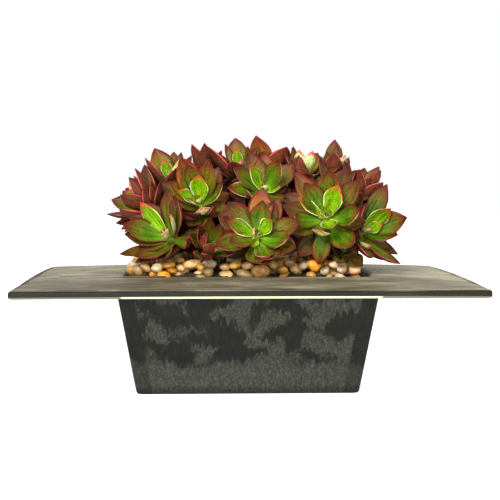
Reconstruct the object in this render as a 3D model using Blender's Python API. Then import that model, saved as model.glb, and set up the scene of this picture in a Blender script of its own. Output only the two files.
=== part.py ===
"""Succulent dish garden, in metres with +Z up.

A cast planter with a wide brim holds potting soil and a mounded bed of river pebbles.
A dome of echeveria rosettes stands in them, each on its own stem.
The origin is on the floor, under the middle of the planter.
"""

import itertools
import math
import random
from dataclasses import dataclass, replace

import bmesh
import bpy
from mathutils import Matrix, Quaternion, Vector
from mathutils.bvhtree import BVHTree

# Planter: a tapered box with a wide brim, cast in one piece
BRIM_LENGTH = 0.430
BRIM_DEPTH = 0.300
BRIM_THICK = 0.0078
CORNER_HEIGHT = 0.1091
CROWN_RISE = 0.0024
SIDE_BOW = 0.0025
FRONT_BOW = 0.0005
BACK_BOW = 0.0035
BODY_LENGTH = 0.2506
BODY_DEPTH = 0.150
TAPER = 0.176
WALL = 0.008
FLOOR = 0.008
EDGE_ROUND = 0.0014
EDGE_DROP = 0.0028
SHOULDER_DROP = 0.00056
EDGE_ROLL = 0.0042
UNDER_SLOPE_FROM = 0.018
UNDER_SLOPE_RISE = 0.0004
TOP_SLOPE_TO = 0.035
TOP_SLOPE_SHARE = 0.55
LIP = ((0.004, 0.0), (0.001, 0.0006), (0.0, 0.003))  # inset from the opening's edge, and drop
FOOT_ROUND = 0.002
CORNER_RADIUS = 0.003
CORNER_STEPS = 2
SIDE_STEPS = 5
SHARP_ANGLE = 35

# Fill: soil, and a mounded bed of pebbles whose middles lie on one low dome
FIT_GAP = 0.0003
SOIL_TOP = 0.098
PEBBLE_EDGE_HEIGHT = 0.1165
MOUND_RISE = 0.009
BED_BELOW_MIDDLES = 0.003
BED_INSET = 0.001
BED_SQUARES = (4, 2)
PEBBLE_PITCH_X = 0.0160
PEBBLE_PITCH_Y = 0.0152
PEBBLE_HALF = (0.0078, 0.0070, 0.0060)
PEBBLE_SPREAD = 0.10
PEBBLE_SHIFT = 0.001
PEBBLE_BOB = 0.0012
PEBBLE_SPIN = 0.5
PEBBLE_TILT = 0.3
PEBBLE_CLEARS_STEM = 0.85
PEBBLE_SIDES = 5
PEBBLE_PROFILE = ((-1.0, 0.75), (0.0, 1.08), (0.9, 0.58))
PEBBLE_SEED = 11

# Stems and the crowns that the leaves grow from
STEM_RADIUS = 0.0032
STEM_GATHER = (0.74, 0.66)
STEM_FOOT = 0.072
STEM_STRAIGHT_TO = 0.128
STEM_BENDS_AT = (0.35, 0.7)
STEM_PULL = 0.4
STEM_SIDES = 6
HOLE_OVERRUN = 0.01
CROWN_HEIGHT = 0.014
CROWN_PROFILE = ((0.0, 0.0064), (0.0145, 0.0028))
CROWN_INNER = 0.0012
CROWN_SPREAD = 0.0026
CROWN_FITS_REACH = 0.043

# Leaves: angles in degrees, sizes as shares of a rosette's reach or of the leaf's own length
GOLDEN_TURN = 137.5
TURN_SCATTER = 6
YOUNGEST_LEAN = 14
OLDEST_LEAN = 78
LEAST_LEAN = 6
LEAN_SCATTER = 3
OPENING_POWER = 0.6
YOUNGEST_CURL = 20
OLDEST_CURL = 38
YOUNGEST_SIZE = 0.25
FULL_GROWN_AGE = 0.6
SIZE_SCATTER = 0.05
LEAF_WIDTH = 0.49
WIDTH_POWER = 0.8
LEAF_THICK = 0.088
WIDEST_AT = 0.60
FOOT_WIDTH = 0.30
FOOT_FLARE = 1.3
TIP_TAPER = 0.85
CUP = 0.34
RINGS_ALONG = (0.0, 0.50, 0.80)
LEAF_GAP = 0.0006
BENDS = (0, -8, 8, -16, 16, -24, -32, -40)
SWEEPS = (0, 8, -8, 16, -16)
STUNTED_SIZES = (1, 0.9, 0.8, 0.7)
GROUND_ON_BRIM = 0.1185


def clear_scene():
    for obj in list(bpy.data.objects):
        bpy.data.objects.remove(obj)


def material(name, colour, roughness):
    made = bpy.data.materials.new(name)
    made.use_nodes = True
    shader = made.node_tree.nodes["Principled BSDF"]
    shader.inputs["Base Color"].default_value = (*colour, 1)
    shader.inputs["Roughness"].default_value = roughness
    return made


def mesh_object(name, bm, finish):
    bmesh.ops.recalc_face_normals(bm, faces=bm.faces)
    mesh = bpy.data.meshes.new(name)
    bm.to_mesh(mesh)
    bm.free()
    mesh.materials.append(finish)
    made = bpy.data.objects.new(name, mesh)
    bpy.context.scene.collection.objects.link(made)
    return made


def keep_outer_shell(mesh):
    """Fills the small hollows that fusing has sealed, and drops loose scraps."""
    bm = bmesh.new()
    bm.from_mesh(mesh)
    unseen = set(bm.faces)
    shells = []
    while unseen:
        shell = [unseen.pop()]
        for face in shell:
            beside = {other for edge in face.edges for other in edge.link_faces} & unseen
            unseen -= beside
            shell += beside
        shells.append(shell)
    shells.sort(key=lambda shell: sum(face.calc_area() for face in shell))
    for shell in shells[:-1]:
        bmesh.ops.delete(bm, geom=shell, context="FACES")
    bm.to_mesh(mesh)
    bm.free()


def apply_boolean(obj, pieces, operation):
    """Joins the pieces to the object, or cuts them from it, and removes them."""
    helpers = bpy.data.collections.new("helpers")
    bpy.context.scene.collection.children.link(helpers)
    for piece in pieces:
        helpers.objects.link(piece)
    modifier = obj.modifiers.new(operation.title(), "BOOLEAN")
    modifier.operation = operation
    modifier.operand_type = "COLLECTION"
    modifier.collection = helpers
    graph = bpy.context.evaluated_depsgraph_get()
    graph.update()
    result = bpy.data.meshes.new_from_object(obj.evaluated_get(graph))
    obj.modifiers.clear()
    keep_outer_shell(result)
    obj.data = result
    for piece in pieces:
        bpy.data.objects.remove(piece)
    bpy.data.collections.remove(helpers)


def loop(bm, points):
    """A closed chain of edges through the points."""
    verts = [bm.verts.new(point) for point in points]
    return [bm.edges.new((verts[i - 1], verts[i])) for i in range(len(verts))]


def bridge_all(bm, loops):
    """Walls between each loop and the next, and a cap on the first and the last."""
    for lower, upper in itertools.pairwise(loops):
        bmesh.ops.bridge_loops(bm, edges=lower + upper)
    bmesh.ops.edgeloop_fill(bm, edges=loops[0])
    bmesh.ops.edgeloop_fill(bm, edges=loops[-1])


# Planter


def rectangle(half_x, half_y):
    """Points of a rectangle with round corners, anticlockwise, with steps along each side."""
    points = []
    for quarter in range(4):
        sign_x = 1 if quarter in (0, 3) else -1
        sign_y = 1 if quarter in (0, 1) else -1
        centre = Vector((sign_x * (half_x - CORNER_RADIUS), sign_y * (half_y - CORNER_RADIUS)))
        for step in range(CORNER_STEPS + 1):
            angle = math.pi / 2 * (quarter + step / CORNER_STEPS)
            points.append(centre + CORNER_RADIUS * Vector((math.cos(angle), math.sin(angle))))
    corner_points = CORNER_STEPS + 1
    stepped = []
    for quarter in range(4):
        arc = points[quarter * corner_points : (quarter + 1) * corner_points]
        following = points[(quarter + 1) * corner_points % len(points)]
        stepped += arc
        stepped += [arc[-1].lerp(following, step / SIDE_STEPS) for step in range(1, SIDE_STEPS)]
    return stepped


def brim_lift(x, y):
    """How far the brim's middle stands above its corners, which sag a little."""
    share_x = min(1.0, abs(2 * x / BRIM_LENGTH))
    share_y = max(-1.0, min(1.0, 2 * y / BRIM_DEPTH))
    end_bow = FRONT_BOW + (BACK_BOW - FRONT_BOW) * (share_y + 1) / 2
    return SIDE_BOW * (1 - share_y**2) + end_bow * (1 - share_x**2)


def body_half(height, inset=0.0):
    """Half the body's length and depth at a height, less an inset."""
    narrowing = TAPER * (CORNER_HEIGHT - BRIM_THICK - height)
    return BODY_LENGTH / 2 - narrowing - inset, BODY_DEPTH / 2 - narrowing - inset


def planter_ring(bm, half, height, on_brim):
    lift = brim_lift if on_brim else (lambda x, y: 0)
    return loop(bm, [Vector((x, y, height + lift(x, y))) for x, y in rectangle(*half)])


def add_planter(finish):
    bm = bmesh.new()
    half_x, half_y = BRIM_LENGTH / 2, BRIM_DEPTH / 2
    under = CORNER_HEIGHT - BRIM_THICK
    crest = CORNER_HEIGHT + CROWN_RISE
    opening_x, opening_y = body_half(CORNER_HEIGHT, WALL)
    body_top = body_half(under)
    foot = body_half(0)

    def shrunk(inset):
        return half_x - inset, half_y - inset

    rings = (
        ((foot[0] - FOOT_ROUND, foot[1] - FOOT_ROUND), 0.0, False),
        (body_half(FOOT_ROUND), FOOT_ROUND, False),
        (body_top, under + CROWN_RISE, True),
        (shrunk(UNDER_SLOPE_FROM), under + UNDER_SLOPE_RISE, True),
        (shrunk(EDGE_ROUND), under, True),
        (shrunk(0), under + EDGE_ROUND, True),
        (shrunk(0), CORNER_HEIGHT - EDGE_DROP, True),
        (shrunk(EDGE_ROUND), CORNER_HEIGHT - SHOULDER_DROP, True),
        (shrunk(EDGE_ROLL), CORNER_HEIGHT, True),
        (shrunk(TOP_SLOPE_TO), CORNER_HEIGHT + TOP_SLOPE_SHARE * CROWN_RISE, True),
        *(((opening_x + inset, opening_y + inset), crest - drop, True) for inset, drop in LIP),
        (body_half(under, WALL), under, False),
        (body_half(FLOOR, WALL), FLOOR, False),
    )
    bridge_all(bm, [planter_ring(bm, *ring) for ring in rings])
    mesh_object("planter", bm, finish)


# Soil and pebbles


def fill_half(height):
    """Half the length and depth of what fills the planter, clear of its walls."""
    return body_half(height, WALL + FIT_GAP)


def stem_holes(stems, floor, top, finish):
    """A plain round cutter for each stem, from the floor to the top."""
    cutters = []
    radius = STEM_RADIUS + 2 * FIT_GAP
    for stem in stems:
        bm = bmesh.new()
        middle = Matrix.Translation((stem.x, stem.y, (floor + top) / 2))
        bmesh.ops.create_cone(
            bm,
            cap_ends=True,
            segments=STEM_SIDES,
            radius1=radius,
            radius2=radius,
            depth=top - floor,
            matrix=middle,
        )
        cutters.append(mesh_object("stem_hole", bm, finish))
    return cutters


def add_soil(stems, finish):
    bm = bmesh.new()
    foot = FLOOR + FIT_GAP
    loops = []
    for height in (foot, SOIL_TOP):
        points = [Vector((x, y, height)) for x, y in rectangle(*fill_half(height))]
        loops.append(loop(bm, points))
    bridge_all(bm, loops)
    soil = mesh_object("soil", bm, finish)
    cutters = stem_holes(stems, STEM_FOOT - FIT_GAP, SOIL_TOP + HOLE_OVERRUN, finish)
    apply_boolean(soil, cutters, "DIFFERENCE")


def mound_height(x, y):
    """Height of the pebbles' middles: a low dome over the opening."""
    half_x, half_y = fill_half(CORNER_HEIGHT)
    dome = (1 - min(1, (x / half_x) ** 2)) * (1 - min(1, (y / half_y) ** 2))
    return PEBBLE_EDGE_HEIGHT + MOUND_RISE * dome


@dataclass(frozen=True)
class Pebble:
    middle: Vector
    half: Vector
    turn: Matrix


def pebbles(stems):
    """River pebbles in jittered rows, half sunk in the bed, clear of the planter's walls and the stems."""
    draw = random.Random(PEBBLE_SEED)
    half_x, half_y = fill_half(PEBBLE_EDGE_HEIGHT - PEBBLE_HALF[2])
    columns = int(2 * half_x / PEBBLE_PITCH_X)
    rows = int(2 * half_y / PEBBLE_PITCH_Y)
    made = []
    for row, column in itertools.product(range(rows), range(columns)):
        half = Vector([size * draw.uniform(1 - PEBBLE_SPREAD, 1 + PEBBLE_SPREAD) for size in PEBBLE_HALF])
        reach = max(half) * max(radius for _, radius in PEBBLE_PROFILE)
        stagger = (row % 2 + 0.5) / 2
        x = (column + stagger - columns / 2) * PEBBLE_PITCH_X + draw.uniform(-PEBBLE_SHIFT, PEBBLE_SHIFT)
        y = (row + 0.5 - rows / 2) * PEBBLE_PITCH_Y + draw.uniform(-PEBBLE_SHIFT, PEBBLE_SHIFT)
        x = max(reach - half_x, min(half_x - reach, x))
        y = max(reach - half_y, min(half_y - reach, y))
        z = mound_height(x, y) + draw.uniform(-PEBBLE_BOB, PEBBLE_BOB)
        spin = Matrix.Rotation(draw.uniform(-PEBBLE_SPIN, PEBBLE_SPIN), 3, "Z")
        tilt = Matrix.Rotation(draw.uniform(-PEBBLE_TILT, PEBBLE_TILT), 3, "X")
        clearance = STEM_RADIUS + PEBBLE_CLEARS_STEM * reach
        if all(math.hypot(x - stem.x, y - stem.y) > clearance for stem in stems):
            made.append(Pebble(Vector((x, y, z)), half, spin @ tilt))
    return made


def add_pebble_bed(stems, finish):
    """The pebbles fused to the mound of gravel that carries them, with a hole for each stem."""
    bm = bmesh.new()
    foot = SOIL_TOP + FIT_GAP
    half_x, half_y = fill_half(foot)
    bmesh.ops.create_grid(bm, x_segments=BED_SQUARES[0], y_segments=BED_SQUARES[1], size=1)
    for vert in bm.verts:
        x, y = vert.co.x * (half_x - BED_INSET), vert.co.y * (half_y - BED_INSET)
        vert.co = (x, y, mound_height(x, y) - BED_BELOW_MIDDLES)
    top = list(bm.faces)
    walls = bmesh.ops.extrude_face_region(bm, geom=top)
    for vert in [item for item in walls["geom"] if isinstance(item, bmesh.types.BMVert)]:
        vert.co.z = foot
    bed = mesh_object("pebble_bed", bm, finish)
    stones = []
    for pebble in pebbles(stems):
        bm = bmesh.new()
        loops = []
        for height, radius in PEBBLE_PROFILE:
            angles = [2 * math.pi * side / PEBBLE_SIDES for side in range(PEBBLE_SIDES)]
            ring = [Vector((radius * math.cos(a), radius * math.sin(a), height)) for a in angles]
            loops.append(loop(bm, ring))
        bridge_all(bm, loops)
        shape = pebble.turn @ Matrix.Diagonal(pebble.half)
        bmesh.ops.transform(bm, matrix=Matrix.Translation(pebble.middle) @ shape.to_4x4(), verts=bm.verts)
        stones.append(mesh_object("pebble", bm, finish))
    apply_boolean(bed, stones, "UNION")
    holes = stem_holes(stems, foot - HOLE_OVERRUN, STEM_STRAIGHT_TO + HOLE_OVERRUN, finish)
    apply_boolean(bed, holes, "DIFFERENCE")


# Rosettes


@dataclass(frozen=True)
class Rosette:
    name: str
    crown: tuple  # foot of the crown, where the stem ends
    heading: float  # degrees in plan, with -90 facing the front
    rise: float  # degrees above level
    reach: float  # length of a full leaf
    spin: float  # degrees, of the youngest leaf
    hand: int = 1  # which way the leaves follow each other round
    leaves: int = 13
    spread: float = 1.0  # under 1 for a rosette still half closed


ROSETTES = (
    Rosette("rosette_front_middle", (0.008, -0.070, 0.152), -92, 28, 0.043, 250, leaves=15),
    Rosette("rosette_front_right", (0.075, -0.058, 0.168), -97, 22, 0.049, 335, hand=-1, leaves=17),
    Rosette("rosette_front_left", (-0.074, -0.052, 0.150), -130, 24, 0.047, 202, leaves=15),
    Rosette("rosette_low_left", (-0.038, -0.062, 0.140), -75, 30, 0.032, 0, leaves=9, spread=0.45),
    Rosette("rosette_low_right", (0.092, -0.058, 0.138), -85, 30, 0.028, 40, leaves=8, spread=0.45),
    Rosette("rosette_right", (0.110, -0.036, 0.155), -55, 18, 0.047, 34, leaves=14),
    Rosette("rosette_left_upper", (-0.046, -0.038, 0.180), -98, 38, 0.044, 85, leaves=15),
    Rosette("rosette_middle_upper", (0.018, -0.018, 0.192), -92, 42, 0.044, 60, leaves=14, spread=0.95),
    Rosette("rosette_middle_low", (-0.020, -0.020, 0.160), -95, 25, 0.036, 0, leaves=8),
    Rosette("rosette_left", (-0.094, -0.008, 0.176), -150, 42, 0.044, 10, leaves=12, spread=0.9),
    Rosette("rosette_left_top", (-0.073, 0.006, 0.200), -125, 66, 0.043, 85, leaves=10, spread=0.75),
    Rosette("rosette_top_left", (-0.038, 0.030, 0.208), 120, 80, 0.042, 60, leaves=10, spread=0.75),
    Rosette("rosette_top_middle", (-0.006, 0.014, 0.208), -110, 64, 0.042, 185, leaves=12, spread=0.7),
    Rosette("rosette_top_back", (0.024, 0.046, 0.208), 80, 74, 0.044, 30, leaves=9, spread=0.8),
    Rosette("rosette_top_right", (0.056, 0.008, 0.204), -60, 70, 0.040, 310, leaves=10, spread=0.75),
    Rosette("rosette_right_upper", (0.088, -0.014, 0.190), -60, 56, 0.038, 150, leaves=11, spread=0.85),
    Rosette("rosette_right_top", (0.090, 0.036, 0.205), -90, 78, 0.042, 250, leaves=10, spread=0.5),
    Rosette("rosette_right_side", (0.113, 0.004, 0.186), -30, 60, 0.042, 60, leaves=11, spread=0.7),
    Rosette("rosette_back_left", (-0.098, 0.048, 0.178), 150, 42, 0.048, 120, leaves=10),
    Rosette("rosette_back_left_inner", (-0.046, 0.074, 0.180), 104, 45, 0.050, 240, leaves=11),
    Rosette("rosette_back_right_inner", (0.014, 0.078, 0.176), 88, 40, 0.052, 15, leaves=11),
    Rosette("rosette_back_right", (0.072, 0.070, 0.178), 62, 42, 0.050, 300, leaves=11),
    Rosette("rosette_right_back", (0.114, 0.046, 0.168), 30, 34, 0.047, 170, leaves=10),
    Rosette("rosette_low_back_left", (-0.072, 0.064, 0.148), 118, 18, 0.044, 75, leaves=9),
    Rosette("rosette_low_back_right", (0.046, 0.068, 0.146), 75, 16, 0.044, 330, leaves=9),
)


def axis_of(rosette):
    heading, rise = math.radians(rosette.heading), math.radians(rosette.rise)
    level = Vector((math.cos(heading), math.sin(heading), 0))
    return level * math.cos(rise) + Vector((0, 0, math.sin(rise)))


def stem_foot(rosette):
    """Where the stem leaves the soil: under the crown, drawn in towards the middle of the opening."""
    return Vector((rosette.crown[0] * STEM_GATHER[0], rosette.crown[1] * STEM_GATHER[1], STEM_FOOT))


def crown_size(rosette):
    """A larger rosette has a larger crown."""
    return rosette.reach / CROWN_FITS_REACH


def add_stem(rosette, finish):
    """The stem stands straight in the soil, then bends over to the crown, where it thickens."""
    foot, crown, axis = stem_foot(rosette), Vector(rosette.crown), axis_of(rosette)
    bend_start = Vector((foot.x, foot.y, STEM_STRAIGHT_TO))
    pull = STEM_PULL * (crown - bend_start).length
    neck = crown - axis * STEM_RADIUS
    handles = (bend_start, bend_start + Vector((0, 0, pull)), neck - axis * pull, neck)
    points, radii = [foot, bend_start], [STEM_RADIUS, STEM_RADIUS]
    for share in STEM_BENDS_AT:
        keep = 1 - share
        weights = (keep**3, 3 * keep**2 * share, 3 * keep * share**2, share**3)
        points.append(sum((w * h for w, h in zip(weights, handles)), Vector()))
        radii.append(STEM_RADIUS)
    for height, radius in CROWN_PROFILE:
        points.append(crown + axis * height)
        radii.append(radius * crown_size(rosette))
    bm = bmesh.new()
    loops, turn, before = [], Quaternion(), Vector((0, 0, 1))
    for i, (point, radius) in enumerate(zip(points, radii)):
        ahead = (points[min(i + 1, len(points) - 1)] - points[max(i - 1, 0)]).normalized()
        turn = before.rotation_difference(ahead) @ turn
        before = ahead
        angles = [2 * math.pi * side / STEM_SIDES for side in range(STEM_SIDES)]
        ring = [point + turn @ (radius * Vector((math.cos(a), math.sin(a), 0))) for a in angles]
        loops.append(loop(bm, ring))
    bridge_all(bm, loops)
    return mesh_object(rosette.name, bm, finish)


@dataclass(frozen=True)
class Leaf:
    foot: Vector
    axis: Vector
    outward: Vector
    lean: float  # angle of the middle of the midrib from the rosette's axis
    curl: float  # how far the leaf turns in towards the axis along its length
    length: float
    width: float
    thick: float


def width_share(along):
    """Share of the leaf's full width: a narrow foot, the widest part past the middle, and a sharp tip."""
    if along < WIDEST_AT:
        rise = math.sin(math.pi / 2 * along / WIDEST_AT) ** FOOT_FLARE
        return FOOT_WIDTH + (1 - FOOT_WIDTH) * rise
    return max(0.0, math.cos(math.pi / 2 * (along - WIDEST_AT) / (1 - WIDEST_AT))) ** TIP_TAPER


def leaf_point(leaf, across, along, under):
    """Across is -1 to 1, along is 0 at the foot and 1 at the tip, and under is 1 on the keel."""
    start = leaf.lean + leaf.curl / 2
    angle = start - leaf.curl * along
    out = leaf.length * (math.cos(angle) - math.cos(start)) / leaf.curl
    up = leaf.length * (math.sin(start) - math.sin(angle)) / leaf.curl
    sideways = leaf.axis.cross(leaf.outward)
    upper = leaf.axis * math.sin(angle) - leaf.outward * math.cos(angle)
    half = leaf.width / 2 * width_share(along)
    lift = CUP * half * across**2 - under * leaf.thick * (1 - along**3)
    return leaf.foot + leaf.outward * out + leaf.axis * up + sideways * (across * half) + upper * lift


def leaf_template():
    """Points in the leaf's own terms, and the faces between them."""
    bm = bmesh.new()
    loops = []
    for along in RINGS_ALONG:
        ring = ((-1, along, 0), (0, along, 0), (1, along, 0), (0, along, 1))
        loops.append(loop(bm, [Vector(point) for point in ring]))
    tip = loop(bm, [Vector((0, 1, side)) for side in range(len(ring))])
    bridge_all(bm, [*loops, tip])
    tip_verts = {vert for edge in tip for vert in edge.verts}
    bmesh.ops.pointmerge(bm, verts=list(tip_verts), merge_co=Vector((0, 1, 0)))
    bm.verts.index_update()
    points = [tuple(vert.co) for vert in bm.verts]
    faces = [[vert.index for vert in face.verts] for face in bm.faces]
    bm.free()
    return points, faces


def grown_leaves(rosette, number):
    """The rosette's leaves as they would grow with nothing in their way, from the youngest out."""
    draw = random.Random(number)
    axis = axis_of(rosette)
    side = Vector((0, 0, 1)).cross(axis).normalized()
    leaves = []
    for i in range(rosette.leaves):
        age = (i + 0.5) / rosette.leaves
        azimuth = rosette.spin + rosette.hand * i * GOLDEN_TURN + draw.uniform(-TURN_SCATTER, TURN_SCATTER)
        outward = Quaternion(axis, math.radians(azimuth)) @ side
        opening = YOUNGEST_LEAN + (OLDEST_LEAN - YOUNGEST_LEAN) * age**OPENING_POWER
        lean = math.radians(opening + draw.uniform(-LEAN_SCATTER, LEAN_SCATTER)) * rosette.spread
        curl = math.radians(YOUNGEST_CURL + (OLDEST_CURL - YOUNGEST_CURL) * age)
        grown = YOUNGEST_SIZE + (1 - YOUNGEST_SIZE) * math.sin(math.pi / 2 * min(1, age / FULL_GROWN_AGE))
        length = rosette.reach * grown * draw.uniform(1 - SIZE_SCATTER, 1 + SIZE_SCATTER)
        width = LEAF_WIDTH * rosette.reach * grown**WIDTH_POWER
        width *= draw.uniform(1 - SIZE_SCATTER, 1 + SIZE_SCATTER)
        height = CROWN_HEIGHT * (1 - age) * crown_size(rosette)
        foot = Vector(rosette.crown) + axis * height + outward * (CROWN_INNER + CROWN_SPREAD * age)
        leaves.append(Leaf(foot, axis, outward, lean, curl, length, width, LEAF_THICK * length))
    return leaves


def ways_to_bend(leaf):
    """The leaf as it grows, then bent, swept round or stunted more and more."""
    ways = itertools.product(BENDS, SWEEPS, STUNTED_SIZES)
    for bend, sweep, size in sorted(ways, key=lambda way: abs(way[0]) + abs(way[1]) + 100 * (1 - way[2])):
        yield replace(
            leaf,
            lean=max(math.radians(LEAST_LEAN), leaf.lean + math.radians(bend)),
            outward=Quaternion(leaf.axis, math.radians(sweep)) @ leaf.outward,
            length=leaf.length * size,
            width=leaf.width * size,
        )


def ground(x, y):
    """The lowest that a leaf may hang: over the pebbles, or over the brim."""
    half_x, half_y = body_half(CORNER_HEIGHT)
    if abs(x) < half_x and abs(y) < half_y:
        return mound_height(x, y) + PEBBLE_HALF[2] * (1 + PEBBLE_SPREAD)
    return GROUND_ON_BRIM


class Obstacles:
    """What has grown so far, for telling whether a new leaf would cross it."""

    def __init__(self):
        self.grown = []

    @staticmethod
    def box(points):
        return [(min(axis), max(axis)) for axis in zip(*points)]

    def add(self, owner, points, faces):
        self.grown.append((owner, self.box(points), BVHTree.FromPolygons(points, faces)))

    def are_clear_of(self, owner, points, faces):
        box, tree = self.box(points), None
        for other, other_box, other_tree in self.grown:
            if other == owner or any(a[0] > b[1] or b[0] > a[1] for a, b in zip(box, other_box)):
                continue
            tree = tree or BVHTree.FromPolygons(points, faces)
            if tree.overlap(other_tree):
                return False
        return True


def roomy(leaf):
    """The leaf with a gap all round it."""
    return replace(
        leaf,
        foot=leaf.foot + leaf.axis * LEAF_GAP,
        length=leaf.length + LEAF_GAP,
        width=leaf.width + 2 * LEAF_GAP,
        thick=leaf.thick + 2 * LEAF_GAP,
    )


def either_fold(faces):
    """Triangles for both ways in which a face with four corners may fold."""
    return [corners for face in faces for corners in itertools.combinations(face, 3)]


def grow(stems):
    """All rosettes grow at once, a leaf each in turn, and a leaf that would cross another bends clear."""
    template, faces = leaf_template()
    folds = either_fold(faces)
    obstacles = Obstacles()
    for number, stem in enumerate(stems):
        points = [vert.co.copy() for vert in stem.data.vertices]
        obstacles.add(number, points, either_fold(face.vertices for face in stem.data.polygons))
    wanted = [grown_leaves(rosette, number) for number, rosette in enumerate(ROSETTES)]
    kept = [[] for _ in ROSETTES]
    for i in range(max(rosette.leaves for rosette in ROSETTES)):
        for number, leaves in enumerate(wanted):
            if i >= len(leaves):
                continue
            for leaf in ways_to_bend(leaves[i]):
                around = [leaf_point(roomy(leaf), *place) for place in template]
                if any(point.z < ground(point.x, point.y) for point in around):
                    continue
                if obstacles.are_clear_of(number, around, folds):
                    points = [leaf_point(leaf, *place) for place in template]
                    obstacles.add(number, points, folds)
                    kept[number].append(leaf)
                    break
    return kept


def add_rosettes(finish):
    """Each rosette is one body: its stem with every leaf fused to the crown."""
    stems = [add_stem(rosette, finish) for rosette in ROSETTES]
    template, faces = leaf_template()
    for stem, leaves in zip(stems, grow(stems)):
        pieces = []
        for leaf in leaves:
            mesh = bpy.data.meshes.new("leaf")
            mesh.from_pydata([leaf_point(leaf, *place) for place in template], [], faces)
            pieces.append(bpy.data.objects.new("leaf", mesh))
        apply_boolean(stem, pieces, "UNION")


def main():
    clear_scene()
    stone = material("slate_grey_cast_stone", (0.07, 0.073, 0.068), 0.6)
    earth = material("potting_soil", (0.03, 0.02, 0.013), 0.95)
    gravel = material("river_pebbles", (0.56, 0.40, 0.20), 0.45)
    leaf_green = material("succulent_leaf", (0.22, 0.20, 0.06), 0.45)
    feet = [stem_foot(rosette) for rosette in ROSETTES]
    add_planter(stone)
    add_soil(feet, earth)
    add_pebble_bed(feet, gravel)
    add_rosettes(leaf_green)
    for obj in bpy.data.objects:
        obj.data.shade_smooth()
        obj.data.set_sharp_from_angle(angle=math.radians(SHARP_ANGLE))


main()
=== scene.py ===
"""Succulent dish garden: its finished look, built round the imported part, in metres with +Z up."""

import itertools
import math
import random
from dataclasses import dataclass, replace

import bmesh
import bpy
from mathutils import Matrix, Quaternion, Vector, noise
from mathutils.bvhtree import BVHTree


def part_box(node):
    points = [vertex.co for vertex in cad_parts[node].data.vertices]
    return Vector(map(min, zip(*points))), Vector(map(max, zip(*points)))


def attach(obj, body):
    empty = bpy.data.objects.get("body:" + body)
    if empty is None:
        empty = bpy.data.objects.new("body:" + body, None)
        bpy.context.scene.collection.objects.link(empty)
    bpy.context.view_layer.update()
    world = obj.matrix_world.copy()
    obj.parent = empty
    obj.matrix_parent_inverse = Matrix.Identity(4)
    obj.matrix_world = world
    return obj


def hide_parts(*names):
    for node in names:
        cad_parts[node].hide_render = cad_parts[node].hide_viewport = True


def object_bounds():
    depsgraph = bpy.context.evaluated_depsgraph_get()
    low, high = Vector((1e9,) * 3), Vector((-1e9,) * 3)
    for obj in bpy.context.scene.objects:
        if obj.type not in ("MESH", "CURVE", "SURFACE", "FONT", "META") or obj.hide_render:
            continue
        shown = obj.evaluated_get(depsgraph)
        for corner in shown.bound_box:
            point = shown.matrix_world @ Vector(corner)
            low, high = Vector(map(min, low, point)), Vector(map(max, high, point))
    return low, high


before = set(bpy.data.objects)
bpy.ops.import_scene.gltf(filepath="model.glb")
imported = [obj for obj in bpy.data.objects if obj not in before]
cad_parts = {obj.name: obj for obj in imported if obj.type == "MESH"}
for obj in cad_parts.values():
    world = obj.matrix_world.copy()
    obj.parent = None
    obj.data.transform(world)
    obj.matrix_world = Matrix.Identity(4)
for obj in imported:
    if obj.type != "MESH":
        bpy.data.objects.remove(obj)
cad_low, cad_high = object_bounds()


# Camera: it stands 1.2 m in front of the planter and 0.1 m above its brim, and looks a little down and to the
# right, as the photograph does. The leaves that the photograph shows are placed along its lines of sight.

FOCAL_PIXELS = 1200
PHOTO_MIDDLE = 250

lens = bpy.data.cameras.new("photo_view")
lens.sensor_width, lens.lens = 36, 36 * FOCAL_PIXELS / (2 * PHOTO_MIDDLE)
camera = bpy.data.objects.new("photo_view", lens)
camera.location = (-0.0415, -1.205, 0.2070)
camera.rotation_euler = (math.radians(90 - 3.37), 0, math.radians(-2.155))
bpy.context.scene.collection.objects.link(camera)
bpy.context.scene.camera = camera
bpy.context.scene.view_settings.view_transform = "Standard"


def line_of_sight(across, down):
    """The direction from the camera through a point of the photograph, in its pixels."""
    ahead = Vector((across - PHOTO_MIDDLE, PHOTO_MIDDLE - down, -FOCAL_PIXELS))
    return (camera.rotation_euler.to_matrix() @ ahead).normalized()


def seen_at(point):
    """Where a point falls in the photograph, in its pixels."""
    ahead = camera.rotation_euler.to_matrix().transposed() @ (point - camera.location)
    return PHOTO_MIDDLE - FOCAL_PIXELS * ahead.x / ahead.z, PHOTO_MIDDLE + FOCAL_PIXELS * ahead.y / ahead.z


# Planter: one casting of dark grey stone slurry, a tapered box with a wide thin brim that sags at its
# corners. The slurry was trowelled and wiped, which left it marbled. A pale strip runs along the brim's lower
# edge, and the brim's top is painted pale, a painted reflection of the white surroundings.

BRIM_THICK = 0.0078
CROWN_RISE = 0.0024
SIDE_BOW = 0.0025
FRONT_BOW = 0.0005
BACK_BOW = 0.0035
BODY_LENGTH = 0.2506
BODY_DEPTH = 0.150
TAPER = 0.176
WALL = 0.008
FLOOR = 0.008
CORNER_HEIGHT = 0.1091
EDGE_ROUND = 0.0014
FOOT_ROUND = 0.002
CORNER_RADIUS = 0.003
LOWER_STRIP = 0.0017
SMOOTH_LIMIT = 40

brim_low, brim_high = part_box("planter")
brim_half = Vector((brim_high.x, brim_high.y))
brim_under = CORNER_HEIGHT - BRIM_THICK


def brim_lift(x, y):
    """How far the brim's middle stands above its corners."""
    share_x = min(1, abs(x / brim_half.x))
    share_y = max(-1, min(1, y / brim_half.y))
    end_bow = FRONT_BOW + (BACK_BOW - FRONT_BOW) * (share_y + 1) / 2
    return SIDE_BOW * (1 - share_y**2) + end_bow * (1 - share_x**2)


def body_half(height, inset=0.0):
    """Half the body's length and depth at a height, less an inset."""
    narrowing = TAPER * (brim_under - height)
    return Vector((BODY_LENGTH / 2 - narrowing - inset, BODY_DEPTH / 2 - narrowing - inset))


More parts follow.
